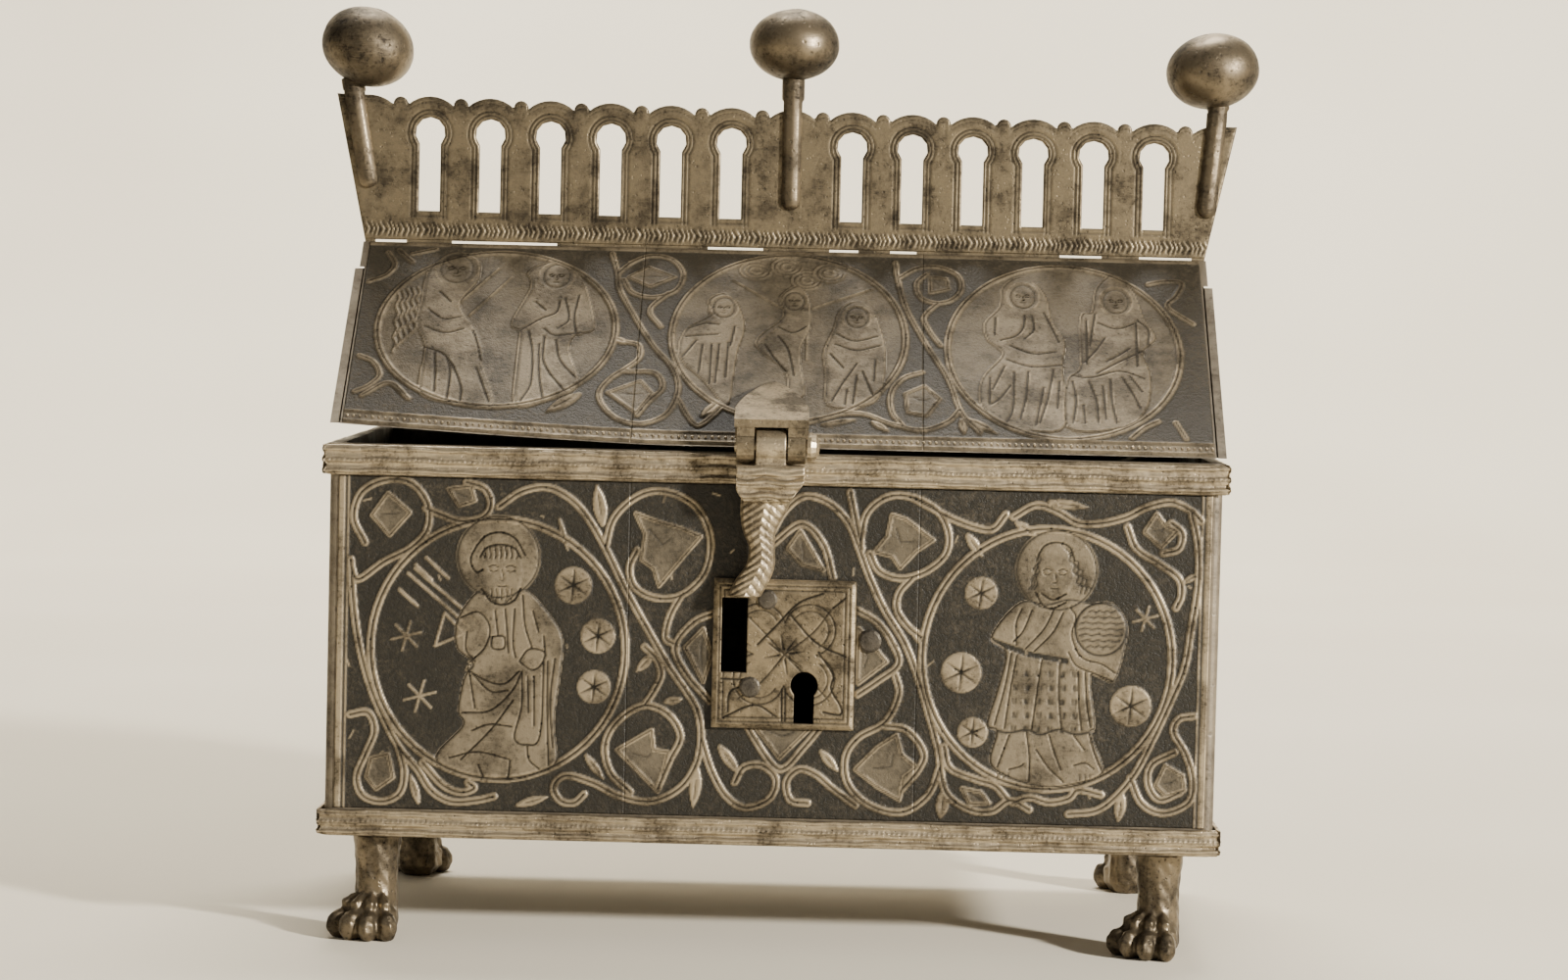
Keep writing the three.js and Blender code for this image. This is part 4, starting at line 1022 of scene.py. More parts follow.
def draw_roof_scenes(sheet):
    for centre, across, up in [
        ((-52.5, 31.0), 22.0, 21.8), ((1.4, 30.4), 21.6, 23.4), ((52.0, 28.2), 21.4, 24.2),
    ]:
        roundel(sheet, centre, across, up, 1.2)
        sheet.metal = np.maximum(
            sheet.metal,
            0.3 * (np.hypot((sheet.u - centre[0]) / across, (sheet.v - centre[1]) / up) < 0.97),
        )
    figures = [
        [
            (-61.0, 52.0), (-66.2, 48.0), (-66.9, 38.7), (-67.3, 31.9), (-65.0, 25.0), (-65.0, 12.6),
            (-57.6, 9.8), (-51.6, 10.0), (-55.1, 22.9), (-56.8, 30.6), (-60.0, 37.7), (-57.2, 44.5),
            (-57.4, 50.4),
        ],
        [
            (-43.0, 50.4), (-47.6, 47.6), (-46.9, 43.0), (-49.8, 32.5), (-48.1, 30.0), (-48.0, 20.0),
            (-47.4, 9.6), (-42.0, 11.0), (-36.6, 15.6), (-38.8, 25.0), (-37.9, 29.7), (-34.7, 31.2),
            (-35.5, 38.2), (-38.0, 46.4),
        ],
        [
            (-10.7, 42.4), (-13.8, 40.4), (-13.0, 36.4), (-17.6, 31.8), (-18.4, 24.3), (-13.6, 17.6),
            (-9.4, 11.2), (-8.6, 17.4), (-8.0, 26.0), (-6.9, 32.5), (-8.0, 38.6),
        ],
        [
            (13.8, 41.0), (11.0, 38.6), (9.7, 32.6), (8.0, 26.2), (8.5, 20.4), (9.0, 11.8), (14.8, 11.6),
            (18.2, 14.6), (19.2, 24.5), (18.5, 32.3), (16.6, 38.8),
        ],
        [
            (2.6, 45.0), (-0.4, 41.6), (0.2, 36.0), (-4.6, 28.6), (1.0, 21.0), (2.0, 14.4), (4.6, 14.8),
            (3.4, 26.0), (5.2, 33.6), (4.8, 41.4),
        ],
        [
            (45.0, 49.2), (41.2, 46.4), (40.4, 40.4), (37.6, 35.6), (38.2, 31.0), (40.8, 27.0),
            (37.0, 20.0), (36.8, 12.4), (41.0, 7.2), (50.6, 6.4), (51.8, 14.0), (51.6, 24.2),
            (52.2, 31.3), (50.0, 36.6), (48.8, 44.4),
        ],
        [
            (62.0, 50.4), (58.6, 46.4), (57.6, 39.6), (55.4, 38.0), (55.0, 24.2), (52.4, 19.8),
            (52.2, 7.4), (60.8, 7.2), (66.2, 12.0), (67.6, 21.6), (66.4, 28.4), (69.0, 32.6),
            (67.2, 37.8), (65.4, 45.6),
        ],
    ]
    for points in figures:
        outline = curve(points, 5, closed=True)
        sheet.plate(outline, 0.16, 0.5)
        sheet.lay(outline, 0.32, 0.26)
        sheet.engrave(outline * 1.0 + np.array([0.22, -0.1]), 0.2)
    for centre, across, up in [
        ((-61.2, 47.6), 3.0, 3.9), ((-42.4, 46.2), 2.5, 3.3), ((-10.8, 38.2), 2.0, 2.8),
        ((13.9, 36.2), 2.0, 2.8), ((2.2, 40.6), 1.8, 2.5), ((44.8, 43.4), 2.3, 3.3),
        ((62.1, 42.6), 2.3, 3.4),
    ]:
        sheet.lay(ellipse(centre, across * 1.35, up * 1.25, -50, 230, 30), 0.36, 0.26)
        sheet.plate(ellipse(centre, across, up), 0.2)
        sheet.engrave(ellipse(centre, across, up), 0.22)
        calm_face(sheet, centre, across * 0.85, up * 0.85, 0.0)
    folds = [
        [(-65.7, 25.3), (-61.2, 22.7), (-58.0, 15.2), (-57.6, 10.4)],
        [(-63.4, 23.7), (-62.8, 18.0), (-62.5, 12.9)],
        [(-61.2, 22.7), (-60.1, 18.4), (-60.1, 10.8)], [(-55.4, 19.7), (-52.4, 10.4)],
        [(-56.8, 30.1), (-55.6, 26.0), (-54.8, 21.9)],
        [(-65.6, 36.0), (-62.6, 33.2), (-59.4, 33.8)], [(-65.8, 31.0), (-62.0, 29.2), (-58.6, 30.4)],
        [(-63.8, 41.0), (-61.6, 38.2)],
        [(-48.1, 30.4), (-44.8, 33.6), (-41.9, 35.7), (-41.4, 39.1)],
        [(-43.8, 31.1), (-41.5, 29.2), (-36.9, 30.2)],
        [(-46.6, 30.4), (-45.5, 24.4), (-45.2, 15.7), (-46.7, 10.8)],
        [(-43.6, 28.9), (-43.1, 21.2), (-39.0, 13.9)],
        [(-41.4, 27.9), (-40.3, 22.4), (-37.2, 17.6)], [(-44.4, 26.6), (-43.8, 18.0), (-42.8, 11.8)],
        [(-37.9, 40.9), (-38.4, 35.0), (-37.9, 30.4)],
        [(-45.8, 38.6), (-43.8, 36.4)], [(-40.4, 40.0), (-39.4, 34.0), (-41.2, 31.2)],
        [(-17.2, 32.1), (-14.0, 33.6), (-11.5, 33.4)], [(-17.5, 29.8), (-11.7, 30.6)],
        [(-15.6, 28.7), (-17.9, 24.2)], [(-14.4, 27.7), (-14.8, 20.0)],
        [(-12.7, 27.8), (-12.7, 16.9)], [(-11.3, 27.9), (-11.7, 17.1)], [(-9.6, 28.4), (-9.9, 18.6)],
        [(-8.6, 33.0), (-9.2, 27.6)],
        [(-0.6, 33.2), (2.2, 31.6), (4.5, 33.4)], [(-3.0, 28.2), (-1.0, 24.2), (1.2, 20.6)],
        [(-0.5, 30.5), (1.4, 26.7), (2.6, 19.6)],
        [(10.2, 31.6), (13.6, 29.6), (17.8, 31.0)], [(10.0, 28.6), (14.0, 27.0), (18.2, 28.4)],
        [(14.0, 23.3), (11.4, 17.6), (9.6, 12.8)],
        [(14.0, 20.0), (13.4, 12.2)], [(15.1, 21.1), (17.0, 14.6)], [(12.3, 16.2), (12.0, 12.0)],
        [(17.4, 24.6), (17.2, 18.6)], [(9.2, 25.8), (11.6, 22.0)],
        [(40.5, 30.8), (43.2, 32.0), (44.7, 34.6), (45.0, 38.2)],
        [(46.4, 38.0), (46.6, 34.0), (44.9, 31.4)], [(41.5, 25.4), (46.1, 23.5), (51.6, 24.1)],
        [(42.1, 29.4), (46.4, 27.2), (50.6, 27.8)], [(38.4, 20.3), (38.2, 12.8)],
        [(41.1, 23.6), (38.8, 17.1)], [(45.4, 22.2), (44.8, 15.0), (43.7, 9.2)],
        [(50.0, 22.9), (48.8, 15.0), (47.2, 8.2)], [(48.1, 17.9), (46.5, 7.6)],
        [(51.0, 19.6), (50.5, 12.3)], [(42.1, 18.3), (40.2, 14.8), (38.6, 13.0)],
        [(42.8, 22.0), (42.4, 12.0), (41.2, 8.2)], [(48.6, 39.0), (50.0, 34.6), (51.2, 30.6)],
        [(39.6, 37.2), (39.4, 32.4)],
        [(56.4, 37.0), (56.2, 24.6)], [(58.1, 39.0), (57.4, 34.0), (56.9, 29.9)],
        [(65.9, 37.5), (67.8, 34.7), (67.6, 30.6)], [(65.6, 36.8), (65.4, 24.4)],
        [(55.7, 25.2), (57.8, 28.4), (59.7, 32.1)], [(57.9, 22.1), (62.0, 25.4), (66.4, 28.6)],
        [(59.8, 25.5), (62.2, 27.4), (64.2, 29.4)],
        [(53.4, 19.8), (53.9, 14.4), (53.2, 8.4)], [(56.4, 19.9), (57.6, 14.4), (57.8, 8.6)],
        [(60.3, 20.6), (60.4, 14.6), (61.1, 8.6)],
        [(62.5, 21.2), (64.4, 16.4), (65.5, 12.8)], [(63.9, 21.7), (66.0, 17.4)],
        [(55.2, 13.3), (55.4, 8.4)], [(53.4, 21.4), (56.8, 20.9), (62.2, 22.9), (66.6, 21.0)],
        [(58.9, 18.6), (59.2, 9.6)], [(58.6, 36.4), (62.0, 34.8), (65.0, 36.2)],
    ]
    for line in folds:
        stroke = curve(line, 6)
        sheet.lay(stroke + np.array([0.32, -0.15]), 0.34, 0.27)
        sheet.engrave(stroke, 0.4)
    for i in range(5):
        top, bottom = (-71.6 + 0.95 * i, 41.0 + 0.3 * i), (-70.8 + 0.8 * i, 23.5 + 1.4 * i)
        sheet.lay(waves(top, bottom, 9, 0.32), 0.34, 0.27)
    for line in (
        [(-53.4, 48.2), (-60.5, 37.0)], [(-50.8, 45.8), (-57.8, 34.5)], [(-9.4, 46.5), (0.2, 38.4)],
        [(5.1, 38.5), (16.7, 44.8)], [(-0.8, 32.6), (-4.6, 28.0)], [(4.7, 32.9), (4.9, 24.2)],
    ):
        sheet.lay(straight(*line), 0.36, 0.26)
    for centre in ((-5.2, 49.4), (8.6, 49.0), (0.6, 50.6), (4.4, 46.8)):
        for radius in (1.0, 2.0, 2.9):
            sheet.lay(ellipse(centre, radius, radius * 0.9, 20 * radius, 300 + 20 * radius, 24), 0.3, 0.27)


def draw_roof_vines(sheet):
    stems = [
        [
            (-32.4, 53.4), (-31.1, 48.0), (-30.4, 42.9), (-26.7, 34.0), (-23.1, 26.6), (-19.6, 21.0),
            (-18.3, 15.0), (-20.1, 8.4), (-24.2, 5.6), (-28.4, 6.4), (-31.4, 9.6), (-32.6, 13.6),
            (-30.8, 17.6), (-28.0, 20.6), (-25.8, 23.6), (-26.0, 27.0), (-28.4, 28.0),
        ],
        [
            (-31.0, 47.5), (-28.4, 51.0), (-24.8, 53.0), (-21.0, 51.9), (-18.8, 47.9), (-19.9, 43.1),
            (-23.8, 40.9), (-27.9, 42.0), (-29.8, 45.8),
        ],
        [(-21.3, 42.1), (-24.5, 37.2), (-22.3, 32.5)],
        [(-28.2, 19.7), (-22.8, 19.5), (-21.2, 15.5), (-23.8, 11.1), (-25.4, 7.8)],
        [(-18.2, 12.4), (-16.2, 7.8), (-14.3, 5.4), (-12.0, 7.8), (-10.3, 10.5)],
        [(21.0, 52.6), (21.6, 47.0), (23.2, 38.9), (27.1, 28.4), (30.7, 19.8), (33.1, 10.6), (36.4, 5.4)],
        [
            (21.6, 48.0), (25.0, 51.0), (29.0, 51.6), (32.6, 49.4), (33.4, 45.4), (31.6, 42.1),
            (28.6, 41.1), (25.7, 42.7), (25.0, 46.6), (26.8, 49.4),
        ],
        [(29.0, 41.1), (26.4, 37.0), (27.4, 33.0), (29.4, 29.0)],
        [(26.0, 21.4), (22.6, 19.6), (20.4, 15.6), (20.5, 10.4), (22.6, 6.4)],
        [(5.7, 7.0), (11.0, 9.3), (15.6, 9.5), (20.5, 7.0), (26.0, 5.6), (30.6, 8.0), (32.8, 11.4)],
        [(68.3, 48.0), (71.4, 48.9), (74.6, 48.5), (73.4, 44.6), (71.7, 41.5), (76.2, 36.8)],
        [(-74.6, 52.2), (-73.0, 48.6), (-74.4, 45.4), (-77.4, 43.6)], [(-72.7, 52.9), (-69.8, 49.5)],
        [(-70.0, 51.8), (-65.7, 53.4)],
        [(-76.9, 12.4), (-74.6, 14.0), (-72.8, 17.0), (-74.2, 20.6), (-77.0, 22.4)],
        [(-75.4, 11.4), (-70.9, 15.0), (-67.0, 10.9)],
        [(63.6, 4.8), (66.0, 7.6), (68.6, 9.4)], [(71.7, 9.2), (73.4, 4.8)],
    ]
    for stem in stems:
        vine(sheet, stem, 1.05)
    for points in (
        [(-28.9, 46.6), (-25.3, 49.6), (-20.3, 46.9), (-24.7, 44.0)],
        [(-31.0, 13.8), (-25.2, 17.2), (-23.0, 13.8), (-25.6, 8.4)],
        [(27.4, 48.6), (30.6, 48.2), (31.0, 45.2), (27.6, 44.0)],
        [(23.0, 15.4), (26.4, 17.6), (29.2, 14.2), (26.8, 9.6), (23.4, 10.4)],
    ):
        leaf(sheet, points)
    for foot, tip, width in [
        ((-36.2, 13.0), (-41.9, 8.0), 2.4), ((-13.6, 8.0), (-10.6, 12.0), 1.8),
        ((34.2, 8.8), (39.4, 5.2), 1.6), ((33.0, 8.6), (33.6, 4.6), 1.3),
        ((-28.6, 27.6), (-30.6, 29.0), 1.5), ((8.0, 6.4), (14.0, 8.0), 1.1),
        ((17.0, 7.4), (20.0, 5.0), 1.3),
    ]:
        bud(sheet, foot, tip, width)


def draw_roof(scenes):
    sheet = Relief(-78.3, 78.3, 0.35, SLOPE_LENGTH - 0.25, 0.27 if scenes else 0.6)
    if scenes:
        draw_roof_scenes(sheet)
        draw_roof_vines(sheet)
    else:
        for x in (-52, 0, 52):
            roundel(sheet, (x, 29), 20.5, 21.5, 1.5)
            for turn in range(4):
                angle = math.radians(90 * turn)
                lobe = (x + 8.2 * math.cos(angle), 29 + 8.2 * math.sin(angle))
                sheet.lay(ellipse(lobe, 7.4, 7.4, 90 * turn - 110, 90 * turn + 110, 30), 1.3, 0.28)
        for x in (-26, 26):
            vine(sheet, [(x - 4, 50), (x - 2, 42), (x, 29), (x + 2, 16), (x + 4, 8)], 1.5)
    base = lift_at(sheet.u) / math.sin(ROOF_PITCH) if scenes else 0 * sheet.u
    for height, width in ((1.0, 0.5), (3.6, 0.5)):
        away = np.abs(sheet.v - base - height) - width / 2
        sheet.raise_metal(np.s_[:, :], away, 0.24)
    sheet.metal = np.maximum(sheet.metal, 0.55 * (sheet.v - base < 3.8))
    top_strip = np.maximum(SLOPE_LENGTH - 1.2 - sheet.v, sheet.v - SLOPE_LENGTH)
    sheet.raise_metal(np.s_[:, :], top_strip, 0.12)
    sheet.drop(sheet.v - base - 0.35)
    return sheet


def on_front_slope(u, v, out):
    return on_slope(-1, u, v, out)


def on_back_slope(u, v, out):
    return on_slope(1, u, v, out)


front_roof_sheet = draw_roof(True)
sheet_pieces("front_roof_panel", front_roof_sheet, on_front_slope, roof_enamel, "lid", parts=3)
sheet_pieces("back_roof_panel", draw_roof(False), on_back_slope, plain_enamel, "lid", flip=True)

# ---------------------------------------------------------------- back and ends of the box


def draw_plain_panel(half, count, step):
    sheet = Relief(-half, half, PANEL_LOW, PANEL_HIGH, step)
    for side in (-1, 1):
        sheet.lay(straight((side * (half - 0.6), -31), (side * (half - 0.6), 31)), 1.4, 0.2)
    pitch = 2 * half / count
    for i in range(count):
        x = -half + pitch * (i + 0.5)
        roundel(sheet, (x, 0), pitch * 0.42, 23.5, 1.6)
        for turn in range(4):
            angle = math.radians(90 * turn)
            lobe = (x + 8.6 * math.cos(angle), 8.6 * math.sin(angle))
            sheet.lay(ellipse(lobe, 7.8, 7.8, 90 * turn - 110, 90 * turn + 110, 30), 1.4, 0.28)
        star(sheet, (x, 0), 3.6)
        for across in (-1, 1):
            for up in (-1, 1):
                bud(
                    sheet, (x + across * pitch * 0.34, up * 19.5), (x + across * pitch * 0.44, up * 26.5),
                    2.4,
                )
    return sheet


def on_back(u, v, out):
    return np.column_stack([u, HALF_DEPTH + out, PANEL_MIDDLE + v])


def on_left(u, v, out):
    return np.column_stack([-HALF_WIDTH - out, u, PANEL_MIDDLE + v])


def on_right(u, v, out):
    return np.column_stack([HALF_WIDTH + out, u, PANEL_MIDDLE + v])


sheet_pieces("back_enamel_panel", draw_plain_panel(78.2, 3, 0.6), on_back, plain_enamel, "box", flip=True)
end_sheet = draw_plain_panel(38.9, 2, 0.5)
sheet_pieces("left_enamel_panel", end_sheet, on_left, plain_enamel, "box", flip=True)
sheet_pieces("right_enamel_panel", end_sheet, on_right, plain_enamel, "box")

# ---------------------------------------------------------------- crest


def scallop_height(x):
    """Height of the crest's scalloped edge above the ridge."""
    at = np.mod(x - CREST_MIDDLE + CREST_PITCH / 2, CREST_PITCH) - CREST_PITCH / 2
    big = 1.7 - (np.sqrt(np.maximum(6.42 ** 2 - at ** 2, 0)) - (6.42 - 1.7))
    small_at = np.abs(at) - CREST_PITCH / 2
    small = 0.2 + 1.36 - np.sqrt(np.maximum(1.36 ** 2 - small_at ** 2, 0))
    drop = np.where(np.abs(at) < 4.35, np.clip(big, 0, 1.7), np.clip(small, 0.2, 1.7))
    end = np.abs(x - CREST_MIDDLE) > 6.98 * CREST_PITCH
    return CREST_HEIGHT - np.where(end, 0, drop)


def draw_crest(step):
    sheet = Relief(-84.9, 84.6, 0.55, CREST_HEIGHT, step)
    sheet.metal[:] = 1
    u, v = sheet.u, sheet.v
    edge = (scallop_height(u) - v) * 0.93
    right_lean = (CREST_RIGHT_TIP - CREST_FOOT) / CREST_HEIGHT
    left_lean = (CREST_LEFT_TIP - CREST_FOOT) / CREST_HEIGHT
    edge = np.minimum(edge, right_lean * v + CREST_FOOT - u)
    edge = np.minimum(edge, u + CREST_FOOT + left_lean * v)
    sheet.rise[:] = 0.1 * np.clip(edge / 0.5, 0, 1)
    at = np.mod(u - CREST_MIDDLE + CREST_PITCH / 2, CREST_PITCH) - CREST_PITCH / 2
    open_here = (np.abs(u - CREST_MIDDLE) > CREST_PITCH / 2) & (np.abs(u - CREST_MIDDLE) < 6.5 * CREST_PITCH)
    ring = np.hypot(at, v - KEYHOLE_CENTRE) - KEYHOLE_RADIUS
    slot = np.maximum(np.abs(at) - KEYHOLE_SLOT / 2, np.abs(v - 12.5) - (12.5 - KEYHOLE_FOOT))
    hole = np.where(open_here, np.minimum(ring, slot), 9.0)
    skirted = np.where(
        open_here, np.minimum(ring, np.maximum(np.abs(at) - KEYHOLE_SLOT / 2, np.abs(v - 12) - 7.2)), 9.0,
    )
    for line in (0.62, 1.3):
        share = np.clip(0.5 - (np.abs(skirted - line) - 0.13) / 0.26, 0, 1) * (v > 4.4)
        sheet.cut = np.maximum(sheet.cut, share)
        sheet.rise += 0.09 * np.clip(0.5 - (np.abs(skirted - line + 0.3) - 0.1) / 0.3, 0, 1) * (v > 4.4)
    ledge = np.clip(0.5 - (np.abs(v - 4.9) - 0.1) / 0.22, 0, 1) * (np.abs(at) < 3.4) * open_here
    sheet.cut = np.maximum(sheet.cut, ledge)
    run = scallop_height(u) - 1.05 - v
    beads = 0.5 + 0.5 * np.cos(2 * math.pi * u / 0.75)
    sheet.cut = np.maximum(
        sheet.cut, np.clip(0.5 - (np.abs(run) - 0.12) / 0.26, 0, 1) * (0.45 + 0.55 * beads),
    )
    sheet.cut = np.maximum(
        sheet.cut, 0.6 * np.clip(0.5 - (np.abs(run + 0.55) - 0.08) / 0.22, 0, 1) * (edge > 0.2),
    )
    wobble = 0.14 * np.sin(u * 1.7) + 0.1 * np.sin(u * 0.61 + 1)
    tooth = np.mod(u + 0.35 * (v - 2.4) * np.where(v > 2.35, 1.6, -1.2) + wobble, 0.95) / 0.95
    band = np.clip(
        (v - 1.15 - 0.25 * np.sin(u * 2.3)) / 0.3, 0, 1,
    ) * np.clip((3.75 + 0.2 * np.sin(u * 3.1) - v) / 0.3, 0, 1)
    sheet.cut = np.maximum(sheet.cut, band * np.clip(1.5 - np.abs(tooth - 0.5) * 6.5, 0, 1))
    sheet.rise += 0.12 * band * np.clip(
        1.3 - np.abs(tooth - 0.05) * 7, 0, 1,
    ) + 0.12 * band * np.clip(1.3 - np.abs(tooth - 0.95) * 7, 0, 1)
    chance = np.random.default_rng(12)
    for _ in range(26):
        x, h = chance.uniform(-76, 76), chance.uniform(5, 24)
        sheet.engrave(
            straight((x, h), (x + chance.uniform(-1.2, 1.2), h + chance.uniform(1.5, 5.0))), 0.1, 0.4,
        )
    sheet.drop(edge - 0.08)
    sheet.drop(hole - 0.06)
    return sheet


def on_crest(side, u, v, out):
    return np.column_stack([u, side * (CREST_HALF + out), RIDGE + v * (1 - CREST_TAPER * u / HALF_WIDTH)])


def on_crest_front(u, v, out):
    return on_crest(-1, u, v, out)


def on_crest_back(u, v, out):
    return on_crest(1, u, v, out)


crest_front = draw_crest(0.25)
sheet_pieces(
    "crest_front_engraving", crest_front, on_crest_front, crest_gilt, "lid", lift=0.02, depth=0.13,
    parts=1,
)
crest_back = draw_crest(0.45)
sheet_pieces(
    "crest_back_engraving", crest_back, on_crest_back, crest_gilt, "lid", lift=0.02, depth=0.1, flip=True,
)

# ---------------------------------------------------------------- cast and hammered pieces


def merged_copy(node):
    """A closed copy of a node's loose triangles."""
    shape = bmesh.new()
    shape.from_mesh(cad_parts[node].data)
    bmesh.ops.remove_doubles(shape, verts=shape.verts, dist=0.00001)
    mesh = bpy.data.meshes.new(node + "_copy")
    shape.to_mesh(mesh)
    shape.free()
    return mesh


def plain_mesh(obj, name):
    """What an object's modifiers make of it, as a mesh of its own."""
    graph = bpy.context.evaluated_depsgraph_get()
    mesh = bpy.data.meshes.new_from_object(obj.evaluated_get(graph))
    mesh.name = name
    bpy.data.objects.remove(obj)
    return mesh


def worked(node, name, finish, body, grain, rounds, shape_it=None):
    """A node's shape again in fine skin, its facets rubbed smooth, then worked by shape_it."""
    obj = bpy.data.objects.new(name + "_work", merged_copy(node))
    bpy.context.scene.collection.objects.link(obj)
    remesh = obj.modifiers.new("skin", "REMESH")
    remesh.mode = "VOXEL"
    remesh.voxel_size = grain / 1000
    smooth = obj.modifiers.new("rub", "SMOOTH")
    smooth.factor = 0.5
    smooth.iterations = rounds
    mesh = plain_mesh(obj, name)
    count = len(mesh.vertices)
    places = np.empty(count * 3, np.float32)
    mesh.vertices.foreach_get("co", places)
    places = places.reshape(-1, 3) * 1000 - MIDDLE
    normals = np.empty(count * 3, np.float32)
    mesh.vertex_normals.foreach_get("vector", normals)
    normals = normals.reshape(-1, 3)
    cut = np.zeros(count)
    if shape_it:
        out, cut = shape_it(places, normals)
        places = places + out[:, None] * normals
    mesh.vertices.foreach_set("co", ((places + MIDDLE) / 1000).astype(np.float32).ravel())
    layer = mesh.attributes.new("cut", "FLOAT", "POINT")
    layer.data.foreach_set("value", cut.astype(np.float32))
    mesh.polygons.foreach_set("use_smooth", np.ones(len(mesh.polygons), bool))
    mesh.update()
    return piece(name, mesh, finish, body, (node,))


def ripple(at, pitch, sharp=2.0):
    """Ridges of 0 to 1 with narrow valleys."""
    return 1 - np.abs(np.cos(math.pi * at / pitch)) ** sharp


def moulding_reeds(foot, length_axis):
    def shape_it(places, normals):
        along = places[:, length_axis]
        height = places[:, 2] - foot
        wander = 0.16 * np.sin(along * 0.21) + 0.1 * np.sin(along * 0.83 + 1)
        ridge = np.abs(np.cos(math.pi * (height + wander) / 0.95))
        row = np.exp(-((height - 2.75 + 0.5 * wander) / 0.3) ** 2)
        bead = row * (0.5 + 0.5 * np.cos(2 * math.pi * along / 0.9))
        dent = 0.1 * np.sin(along * 1.9 + height) * np.sin(along * 0.47 + 2)
        out = -0.2 * (1 - ridge) * (1 - row) - 0.14 * row + 0.2 * bead - 0.1 + 0.5 * np.minimum(dent, 0)
        # Painted shade: the second mask darkens the valleys between reeds and between beads toward the
        # grime-and-shade colour.
        return out, np.clip(0.75 - ridge * 1.5, 0, 1) * (1 - row) + 0.5 * row * (1 - bead)
    return shape_it


for side, axis in (("front", 0), ("right", 1), ("back", 0), ("left", 1)):
    for level in ("top", "bottom"):
        node = f"{level}_moulding_{side}"
        foot = extent(node)[0][2]
        fine = 0.3 if side == "front" else 0.45
        worked(node, f"{level}_{side}_reeds", moulding_gilt, "box", fine, 1, moulding_reeds(foot, axis))


def paw_hide_and_shade(places, normals):
    x, y, z = places.T
    leg = np.clip((z - 8) / 3, 0, 1)
    knock = 0.1 * np.sin(x * 2.1 + z * 1.3) * np.sin(y * 1.8 + z * 0.9)
    # Painted shade: the second mask darkens the paw's downward-facing skin below the leg toward the
    # grime-and-shade colour.
    return knock - 0.1 * leg * ripple(x + 0.2 * z, 2.6) - 0.05, 0.25 * (1 - leg) * (normals[:, 2] < -0.2)


for node in ("front_left_paw", "front_right_paw", "back_right_paw", "back_left_paw"):
    worked(node, node.replace("paw", "lion_foot"), paw_bronze, "box", 0.3, 4, paw_hide_and_shade)

for side in ("left", "middle", "right"):
    worked(side + "_stem", side + "_post", knob_bronze, "lid", 0.3, 3)


def hasp_scales(places, normals):
    """Reeds round the block, then rows of pointed scales down the neck."""
    x, y, z = places.T
    block = z > PANEL_MIDDLE + 27.4
    reed = np.abs(np.cos(math.pi * (z + 0.25 * np.sin(x * 0.9)) / 1.25))
    front = np.clip(-normals[:, 1] * 1.6, 0, 1)
    barrel = np.clip((z - 86.5) / 1.5, 0, 1)
    middle = np.interp(
        z - PANEL_MIDDLE, [9.9, 12.9, 15.8, 18.8, 21.6, 25, 28.4],
        [-5.2, -3.7, -2.3, -2.2, -2.7, -2.1, -1.3],
    )
    chevron = np.abs(np.cos(math.pi * (z + 0.75 * np.abs(x - middle)) / 1.5))
    spine = np.exp(-((x - middle - 1.0) / 0.45) ** 2)
    ridge = np.where(block, reed, chevron * (1 - 0.6 * spine))
    deep = np.where(block, 0.3, 0.36) * front * (1 - barrel)
    # Painted shade: the second mask darkens the valleys between reeds and between scales on the front toward
    # the grime-and-shade colour.
    return -deep * (1 - ridge), np.clip(0.8 - 1.7 * ridge, 0, 1) * front * (1 - barrel)


worked("hasp", "hasp_dragon_neck", hasp_gilt, "hasp", 0.2, 2, hasp_scales)


def hammered_knob(node, name, height, lean):
    """Two raised cups soldered at the middle into one flattened ball, with a few old dents."""
    low, high = extent(node)
    centre = (low + high) / 2 - MIDDLE
    deep = (high[1] - low[1]) / 2
    rings, around = 56, 96
    down = np.linspace(0.02, math.pi - 0.02, rings)
    turn = np.linspace(0, 2 * math.pi, around, endpoint=False)
    down, turn = np.meshgrid(down, turn, indexing="ij")
    seam = np.exp(-((down - math.pi / 2) / 0.022) ** 2)
    dents = 0.09 * np.sin(3 * turn + 1.1) * np.sin(2 * down) + 0.07 * np.sin(5 * turn + 4 * down)
    radius = deep * (np.sin(down) ** 0.94) + (dents - 0.14) * np.sin(down) - 0.16 * seam
    rise = height / 2 * np.cos(down) * (1 - 0.02 * np.sin(2 * turn))
    x, y = radius * np.cos(turn), radius * np.sin(turn)
    tip = math.radians(lean)
    places = np.stack([
        centre[0] + x * math.cos(tip) + rise * math.sin(tip),
        centre[1] + y,
        centre[2] - x * math.sin(tip) + rise * math.cos(tip),
    ], -1).reshape(-1, 3)
    number = np.arange(rings * around).reshape(rings, around)
    after = np.roll(number, -1, 1)
    quads = np.stack([number[:-1], number[1:], after[1:], after[:-1]], -1).reshape(-1, 4)
    mesh = mesh_from(name, places, quads)
    shape = bmesh.new()
    shape.from_mesh(mesh)
    bmesh.ops.holes_fill(shape, edges=shape.edges, sides=around)
    bmesh.ops.recalc_face_normals(shape, faces=shape.faces)
    shape.to_mesh(mesh)
    shape.free()
    piece(name, mesh, knob_bronze, "lid", (node,))


hammered_knob("left_knob", "left_hammered_knob", 14.6, 21)
hammered_knob("middle_knob", "middle_hammered_knob", 13.3, 0)
hammered_knob("right_knob", "right_hammered_knob", 14.0, -9)

# ---------------------------------------------------------------- rows of beads


